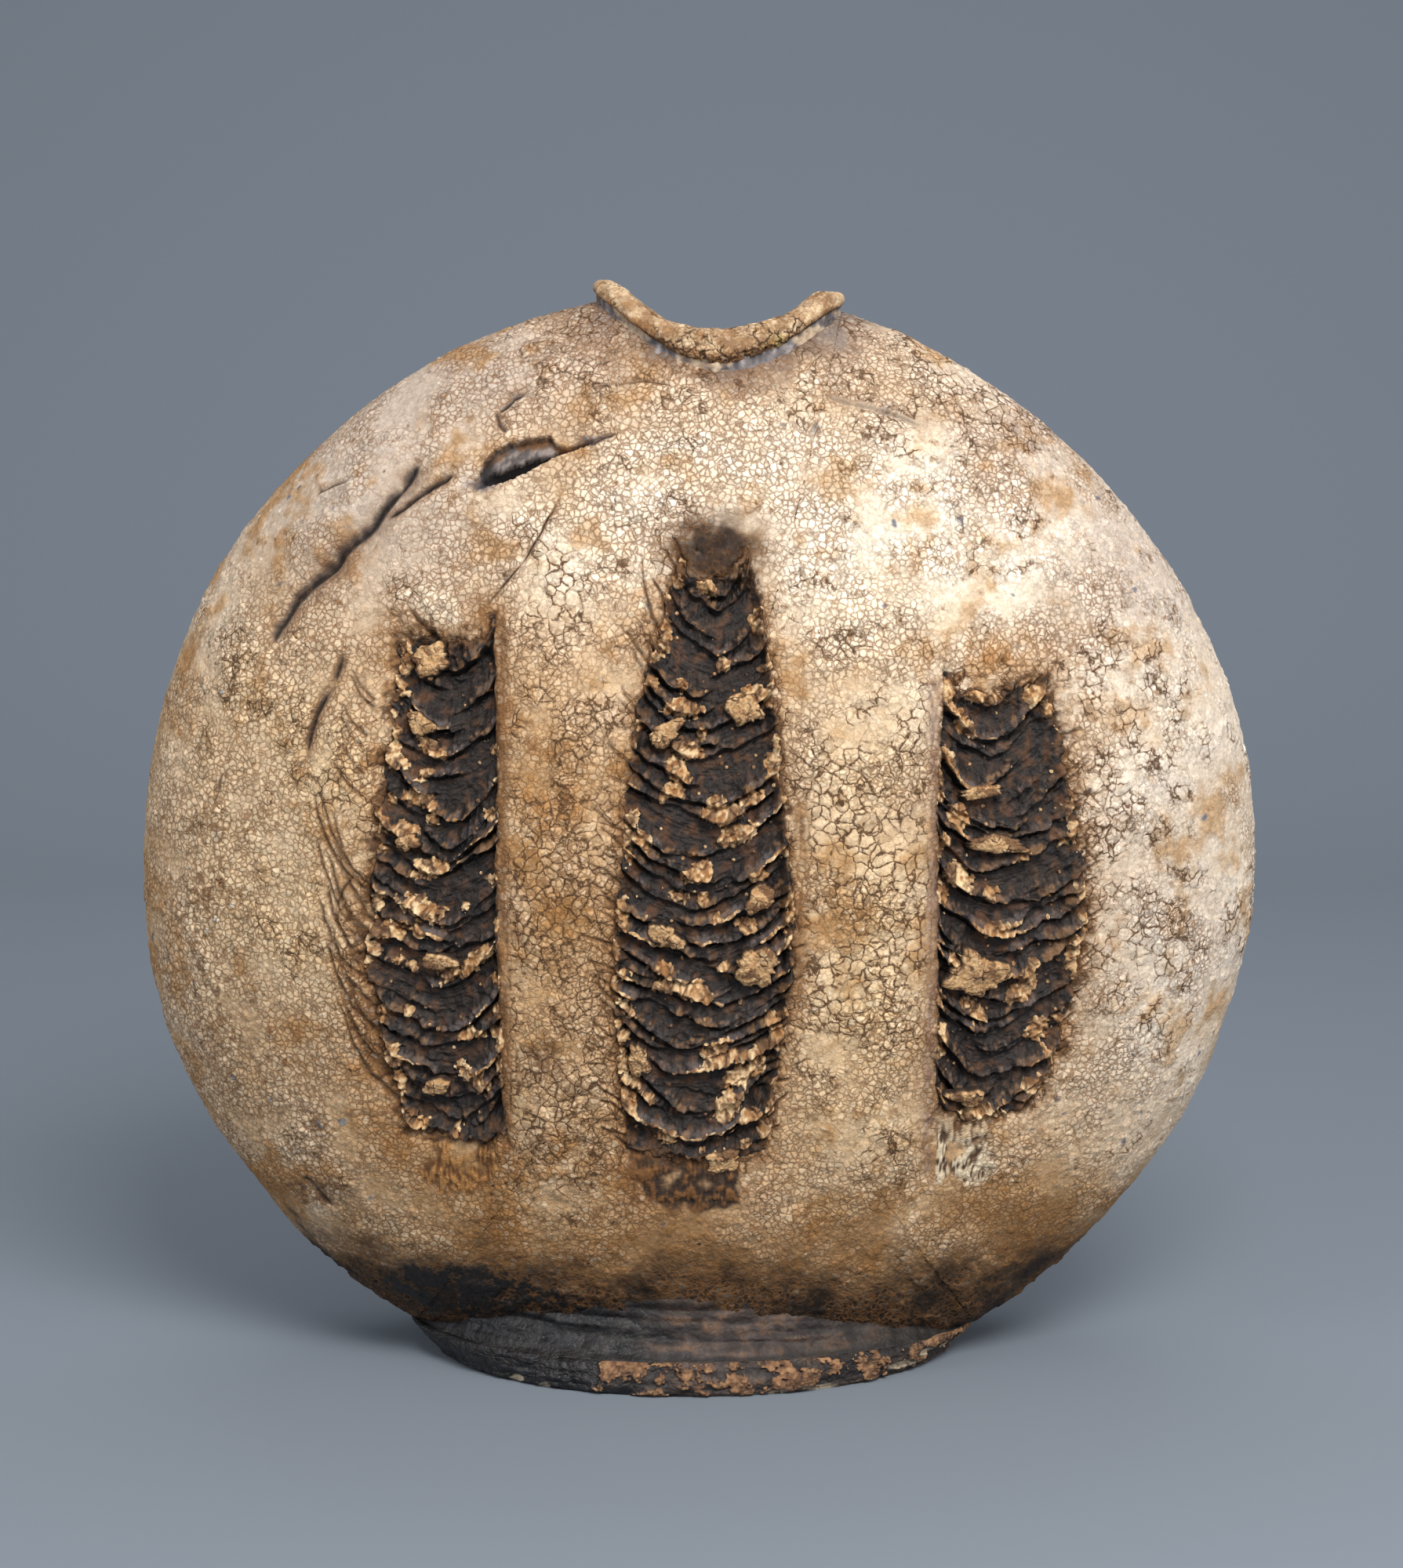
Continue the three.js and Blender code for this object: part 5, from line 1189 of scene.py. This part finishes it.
def build_waist(name, side):
    """Concave fillet between the band and the body, one half of the oval."""
    nu, n_out = 900, 84
    f = np.linspace(0.0, math.pi, nu) + (math.pi if side < 0 else 0)
    tab_z = np.array([12.6, 14.5, 17, 20.5, 24, 28, 32, 36, 40, 44])
    tab_b = np.array([70.6, 68.4, 66.2, 64.2, 62.9, 62.5, 63.0, 63.9, 64.6, 64.6])
    prof = []
    top_z = 41.0
    for z in np.linspace(12.6, top_z, n_out):
        b = np.interp(z, tab_z, tab_b)
        a = np.interp(z, [12.6, 18, 24, 44], [114, 110.5, 108.5, 108.0])
        prof.append(np.stack([FOOT_CX + a * np.cos(f), b * np.sin(f), np.full(nu, z)], 1))
    for z in (top_z, 34, 24, 18, 12.6):
        prof.append(np.stack([FOOT_CX + 96 * np.cos(f), 42 * np.sin(f), np.full(nu, z)], 1))
    rows = np.stack(prof, 1)
    P = rows.reshape(-1, 3)
    P32 = P.astype(F)
    col, rough, n1, n2, n3, n4, strata, w = foot_tone(P32, 130)
    out = np.stack([(P[:, 0] - FOOT_CX) / 110 ** 2, P[:, 1] / 66 ** 2, 0 * P[:, 0]], 1)
    out /= np.maximum(np.linalg.norm(out, axis=1, keepdims=True), 1e-9)
    outer = (np.arange(rows.shape[1]) < n_out)[None, :].repeat(nu, 0).ravel().astype(float)
    drag = noise(np.stack([P32[:, 0] * 0.10, P32[:, 1] * 0.10, P32[:, 2]], 1), 3.6, 136)
    fade = ss(-top_z, -top_z + 9, -P[:, 2])
    rel = 0.9 * n1 + 0.7 * n2 + 0.4 * n3 + 0.2 * n4 + 1.2 * drag
    sc = np.exp(-((P[:, 2] - 19 + 0.02 * P[:, 0]) / 1.1) ** 2) * ss(-60, -20, P[:, 0]) * ss(-80, -20, -P[:, 0])
    rel = rel - 0.9 * sc
    P = P + out * (rel * outer * fade)[:, None] - out * ((1 - fade) * 0.9 * outer)[:, None]
    col = mix(col, [0.36, 0.26, 0.17], ss(28, 40, P[:, 2] + 3 * n2) * 0.6 * (1 - w))
    col = mix(col, [0.12, 0.10, 0.095], ss(0.1, 0.45, noise(P32, 14, 138) + 0.4 * n3) * ss(26, 36, P[:, 2]) * 0.6)
    # painted shade in the crease just above the band
    col = mix(col, [0.08, 0.07, 0.065], np.exp(-((P[:, 2] - 13.4) / 0.9) ** 2) * 0.6)
    ca = np.clip(0.15 + 0.5 * n2, 0, 0.6)
    return tube_mesh(name, P.reshape(rows.shape), {"Col": col, "Rgh": np.clip(rough, 0.3, 0.95), "Crk": np.stack([ca, ca, 0 * ca + 0.05], 1)})


# ---------------------------------------------------------------- floor inside
def build_floor():
    nu, rings = 160, 40
    f = np.linspace(0, 2 * math.pi, nu, endpoint=False)
    c, s = np.cos(f), np.sin(f)
    prof = [np.stack([106.5 * r * c, 41.5 * r * s, np.full(nu, 20.5)], 1) for r in np.linspace(0.02, 1, rings)]
    prof += [np.stack([104 * r * c, 37.5 * r * s, np.full(nu, 11.6)], 1) for r in np.linspace(1, 0.02, rings)]
    rows = np.stack(prof, 0)
    P = rows.reshape(-1, 3)
    col, n1, n2, n3 = clay_tone(P.astype(F), 150, base=(0.44, 0.33, 0.225), light=(0.60, 0.475, 0.34))
    P[:, 2] += (0.9 * n1 + 0.4 * n2) * np.where(P[:, 2] > 15, 1, 0.4) * ss(-1.02, -0.9, -np.hypot(P[:, 0] / 106, P[:, 1] / 41))
    return tube_mesh("inner_floor", P.reshape(rows.shape), {"Col": col, "Rgh": np.full(len(P), 0.9)})


# ---------------------------------------------------------------- materials
def clay(name, grain=0.18, bump=0.45, spec=0.3, crack=(0.078, 0.038, 0.016), deep=(0.245, 0.108, 0.034), net=True):
    m = bpy.data.materials.new(name)
    m.use_nodes = True
    nt = m.node_tree
    bsdf = nt.nodes["Principled BSDF"]
    link = nt.links.new

    def put(socket, value):
        if isinstance(value, bpy.types.NodeSocket):
            link(value, socket)
        else:
            socket.default_value = value

    def attr(key):
        nd = nt.nodes.new("ShaderNodeAttribute")
        nd.attribute_name = key
        return nd

    def op(kind, a, b=0.0, c=0.0, clamp=False):
        nd = nt.nodes.new("ShaderNodeMath")
        nd.operation = kind
        nd.use_clamp = clamp
        for k, value in enumerate((a, b, c)):
            put(nd.inputs[k], value)
        return nd.outputs[0]

    def step(x, a, b, lo=0.0, hi=1.0):
        nd = nt.nodes.new("ShaderNodeMapRange")
        nd.interpolation_type = "SMOOTHSTEP"
        for k, value in enumerate((x, a, b, lo, hi)):
            put(nd.inputs[k], value)
        return nd.outputs[0]

    def tex_noise(scale, detail, rough_=0.6):
        nd = nt.nodes.new("ShaderNodeTexNoise")
        nd.inputs["Scale"].default_value = scale
        nd.inputs["Detail"].default_value = detail
        nd.inputs["Roughness"].default_value = rough_
        link(obj, nd.inputs["Vector"])
        return nd

    def tex_voro(scale, feature, vec):
        nd = nt.nodes.new("ShaderNodeTexVoronoi")
        nd.feature = feature
        nd.inputs["Scale"].default_value = scale
        link(vec, nd.inputs["Vector"])
        return nd

    def blend(a, b, t):
        nd = nt.nodes.new("ShaderNodeMix")
        nd.data_type = "RGBA"
        put(nd.inputs[0], t)
        put(nd.inputs[6], a)
        put(nd.inputs[7], b)
        return nd.outputs[2]

    def shift(vec, colour, amount):
        nd = nt.nodes.new("ShaderNodeVectorMath")
        nd.operation = "MULTIPLY_ADD"
        nd.inputs[1].default_value = (amount,) * 3
        link(colour, nd.inputs[0])
        link(vec, nd.inputs[2])
        return nd.outputs[0]

    def channels(colour):
        nd = nt.nodes.new("ShaderNodeSeparateColor")
        link(colour, nd.inputs[0])
        return nd.outputs

    obj = nt.nodes.new("ShaderNodeTexCoord").outputs["Object"]
    n_fine, n_mid = tex_noise(1050, 3, 0.65), tex_noise(330, 4, 0.6)
    fine_v, mid_v = n_fine.outputs["Fac"], n_mid.outputs["Fac"]
    v_mid = shift(obj, n_mid.outputs["Color"], 0.0026)
    g1 = tex_voro(1150, "F1", v_mid)
    cb_ = tex_voro(415, "F1", v_mid)

    base = attr("Col").outputs["Color"]
    sel = op("MULTIPLY_ADD", mid_v, 1.5, op("SUBTRACT", attr("Sel").outputs["Fac"], 0.75))
    pick = step(sel, -0.10, 0.12)
    base = blend(base, attr("Col2").outputs["Color"], pick)
    v = op("MULTIPLY_ADD", op("SUBTRACT", channels(g1.outputs["Color"])[0], 0.5), 1.3 * grain, 1.0)
    v = op("MULTIPLY_ADD", op("SUBTRACT", channels(cb_.outputs["Color"])[0], 0.5), 1.0 * grain, v)
    v = op("MULTIPLY_ADD", op("SUBTRACT", fine_v, 0.5), 2.6 * grain, v)
    v = op("MULTIPLY_ADD", op("SUBTRACT", mid_v, 0.5), 1.6 * grain, v)
    v = op("MULTIPLY", v, step(fine_v, 0.60, 0.70, 1.0, 0.80))
    hgt = op("MULTIPLY_ADD", fine_v, 0.55, op("MULTIPLY", mid_v, 0.9))
    if net:
        n_big = tex_noise(92, 3, 0.55)
        big_v = n_big.outputs["Fac"]
        v_big = shift(shift(obj, n_big.outputs["Color"], 0.0075), n_mid.outputs["Color"], 0.0024)
        ea = op("MULTIPLY", tex_voro(200, "DISTANCE_TO_EDGE", v_big).outputs["Distance"], 5.0)
        ia = channels(tex_voro(200, "F1", v_big).outputs["Color"])
        eb = op("MULTIPLY", tex_voro(415, "DISTANCE_TO_EDGE", v_mid).outputs["Distance"], 2.41)
        ca, cb, tint = channels(attr("Crk").outputs["Color"])[:3]
        wob = op("MULTIPLY", op("SUBTRACT", fine_v, 0.5), 0.7)
        # open cracks of uneven width, over a fine net of rounded scales
        on_a = step(op("MULTIPLY_ADD", op("SUBTRACT", big_v, 0.5), 1.7, ca), 0.15, 0.70)
        uneven = step(mid_v, 0.38, 0.62)
        width = op("MULTIPLY", on_a, op("MULTIPLY_ADD", uneven, 0.46, 0.16))
        ka = op("MULTIPLY", step(op("ADD", ea, wob), op("MULTIPLY", width, 0.20), op("ADD", width, 0.03), 1.0, 0.0), on_a)
        on_b = step(op("MULTIPLY_ADD", op("SUBTRACT", mid_v, 0.5), 1.3, cb), 0.10, 0.80)
        # painted light and shade: each fine scale is lighter at its centre and darker towards its edge, as on a
        # rounded top
        tb = step(op("ADD", eb, wob), 0.0, 0.56)
        valley = op("MULTIPLY", op("SUBTRACT", 1.0, tb), on_b)
        kb = op("MULTIPLY", step(op("ADD", eb, wob), 0.0, 0.22, 1.0, 0.0), op("MULTIPLY", on_b, step(fine_v, 0.42, 0.58)))
        k = op("MAXIMUM", ka, op("MULTIPLY", kb, 0.72))
        halo = op("MULTIPLY", step(op("ADD", ea, wob), 0.0, 1.2, 1.0, 0.0), on_a)
        halo = op("MULTIPLY", halo, halo)
        ib = channels(cb_.outputs["Color"])
        # painted highlight: cream on the fine scales' centres
        cream = op("MULTIPLY", op("MULTIPLY", step(ib[1], 0.50, 0.95), tint), op("MULTIPLY", tb, 0.28))
        base = blend(base, (0.84, 0.73, 0.56, 1), cream)
        golden = op("MULTIPLY", step(ib[2], 0.60, 0.95), op("MULTIPLY", tint, 0.32))
        base = blend(base, (0.37, 0.215, 0.088, 1), golden)
        # brown stain near the open cracks, and painted shade towards each fine scale's edge
        base = blend(base, (*deep, 1), op("MAXIMUM", op("MULTIPLY", halo, 0.58), op("MULTIPLY", valley, 0.66)))
        base = blend(base, (*crack, 1), op("MULTIPLY", k, 0.90))
        v = op("MULTIPLY_ADD", op("MULTIPLY", op("SUBTRACT", ia[0], 0.5), tint), 0.34, v)
        v = op("MULTIPLY_ADD", op("MULTIPLY", op("SUBTRACT", ib[0], 0.5), tint), 0.16, v)
        # painted light: the fine scales' centres are brightened
        v = op("MULTIPLY_ADD", op("MULTIPLY", tb, tint), 0.21, v)
        hgt = op("MULTIPLY_ADD", k, -0.70, hgt)
        hgt = op("MULTIPLY_ADD", op("MULTIPLY", step(ea, 0.0, 1.4), on_a), 0.45, hgt)
        hgt = op("MULTIPLY_ADD", op("MULTIPLY", tb, on_b), 0.55, hgt)
    out = nt.nodes.new("ShaderNodeVectorMath")
    out.operation = "SCALE"
    link(base, out.inputs[0])
    link(v, out.inputs["Scale"])
    link(out.outputs[0], bsdf.inputs["Base Color"])
    rg = op("MULTIPLY_ADD", op("SUBTRACT", mid_v, 0.5), 0.30, attr("Rgh").outputs["Fac"])
    rg = op("MAXIMUM", rg, op("MULTIPLY", pick, 0.82), clamp=True)
    link(rg, bsdf.inputs["Roughness"])
    bsdf.inputs["Specular IOR Level"].default_value = spec
    hgt = op("MULTIPLY_ADD", g1.outputs["Distance"], -0.25, hgt)
    hgt = op("MULTIPLY_ADD", pick, 0.30, hgt)
    bp = nt.nodes.new("ShaderNodeBump")
    bp.inputs["Strength"].default_value = bump
    bp.inputs["Distance"].default_value = 0.0010
    link(hgt, bp.inputs["Height"])
    link(bp.outputs["Normal"], bsdf.inputs["Normal"])
    return m


MATS = {
    "body_clay": clay("body_clay"),
    "inner_clay": clay("inner_clay", net=False),
    "foot_clay": clay("foot_clay", grain=0.15, bump=0.40, spec=0.5, crack=(0.010, 0.008, 0.008), deep=(0.022, 0.016, 0.014)),
    "collar_clay": clay("collar_clay", grain=0.15, net=False),
    "lip_clay": clay("lip_clay", grain=0.17, bump=0.5, crack=(0.030, 0.016, 0.010)),
    "raked_clay": clay("raked_clay", grain=0.20, bump=0.60, spec=0.4, net=False),
    "torn_clay": clay("torn_clay", grain=0.16, bump=0.5, net=False),
}


def place(ob, slot, *nodes):
    ob.data.materials.append(MATS[slot])
    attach(ob, "root")
    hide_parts(*nodes)


place(build_wall("front_wall", -1, 900, 90), "body_clay", "front_shell")
place(build_wall("back_wall", 1, 640, 80), "body_clay", "back_shell")
place(build_floor(), "inner_clay", "floor_slab")
place(build_band(), "foot_clay", "foot_band")
place(build_waist("waist_front", -1), "foot_clay", "foot_waist_front")
place(build_waist("waist_back", 1), "foot_clay", "foot_waist_back")
place(build_collar(), "collar_clay", "neck_collar")
place(build_lip("lip_front", True), "lip_clay", "lip_coil_front")
place(build_lip("lip_back", False), "lip_clay", "lip_coil_back")
for k, s in STRIPES.items():
    place(build_panel("raked_" + k, s, 0.31), "raked_clay", "raked_panel_" + k)
for k, p in PADS.items():
    place(build_pad(k, *p), "torn_clay", k)


# ---------------------------------------------------------------- stage: seamless backdrop and light
def build_stage():
    prof = [(-2.2, 0.0), (1.0, 0.0)]
    for a in np.linspace(0, math.pi / 2, 24)[1:]:
        prof.append((1.0 + 0.8 * math.sin(a), 0.8 - 0.8 * math.cos(a)))
    prof.append((1.8, 3.4))
    verts = [(x, y, z) for (y, z) in prof for x in (-3.2, 3.2)]
    faces = [(2 * i, 2 * i + 1, 2 * i + 3, 2 * i + 2) for i in range(len(prof) - 1)]
    me = bpy.data.meshes.new("backdrop")
    me.from_pydata(verts, [], faces)
    me.polygons.foreach_set("use_smooth", [True] * len(faces))
    ob = bpy.data.objects.new("backdrop", me)
    bpy.context.scene.collection.objects.link(ob)
    m = bpy.data.materials.new("backdrop")
    m.use_nodes = True
    b = m.node_tree.nodes["Principled BSDF"]
    b.inputs["Base Color"].default_value = (0.225, 0.258, 0.300, 1)
    b.inputs["Roughness"].default_value = 0.95
    b.inputs["Specular IOR Level"].default_value = 0.1
    me.materials.append(m)


build_stage()


def area(name, loc, target, size, power, colour=(1, 1, 1)):
    d = bpy.data.lights.new(name, "AREA")
    d.shape = "RECTANGLE"
    d.size, d.size_y = size
    d.energy = power
    d.color = colour
    ob = bpy.data.objects.new(name, d)
    bpy.context.scene.collection.objects.link(ob)
    ob.location = loc
    ob.rotation_euler = (Vector(target) - Vector(loc)).to_track_quat("-Z", "Y").to_euler()


area("key", (0.34, -1.15, 1.36), (0.0, 0.0, 0.20), (0.8, 0.6), 24, (1.0, 0.985, 0.96))
area("fill_left", (-1.6, -1.1, 0.9), (0.0, 0.0, 0.2), (1.0, 1.2), 9, (0.98, 0.985, 1.0))
area("fill_right", (1.6, -1.1, 0.8), (0.0, 0.0, 0.2), (1.0, 1.2), 10, (1.0, 0.99, 0.98))
area("back_top", (0.0, 0.9, 1.9), (0.0, 0.2, 0.2), (1.6, 0.8), 9, (0.97, 0.98, 1.0))
w = bpy.data.worlds.new("world")
bpy.context.scene.world = w
w.use_nodes = True
w.node_tree.nodes["Background"].inputs["Color"].default_value = (0.93, 0.955, 1.0, 1)
w.node_tree.nodes["Background"].inputs["Strength"].default_value = 0.38
bpy.context.scene.view_settings.view_transform = "Standard"

# ---------------------------------------------------------------- camera
cam = bpy.data.cameras.new("camera")
cam.sensor_width = 36.0
cam.lens = 4466.44 / IMG_H * 36.0
cam.clip_start, cam.clip_end = 0.05, 20
co = bpy.data.objects.new("camera", cam)
co.location = (CAM_X, CAM_Y, CAM_Z)
co.rotation_euler = (math.radians(90 - CAM_PITCH), 0, 0)
bpy.context.scene.collection.objects.link(co)
bpy.context.scene.camera = co
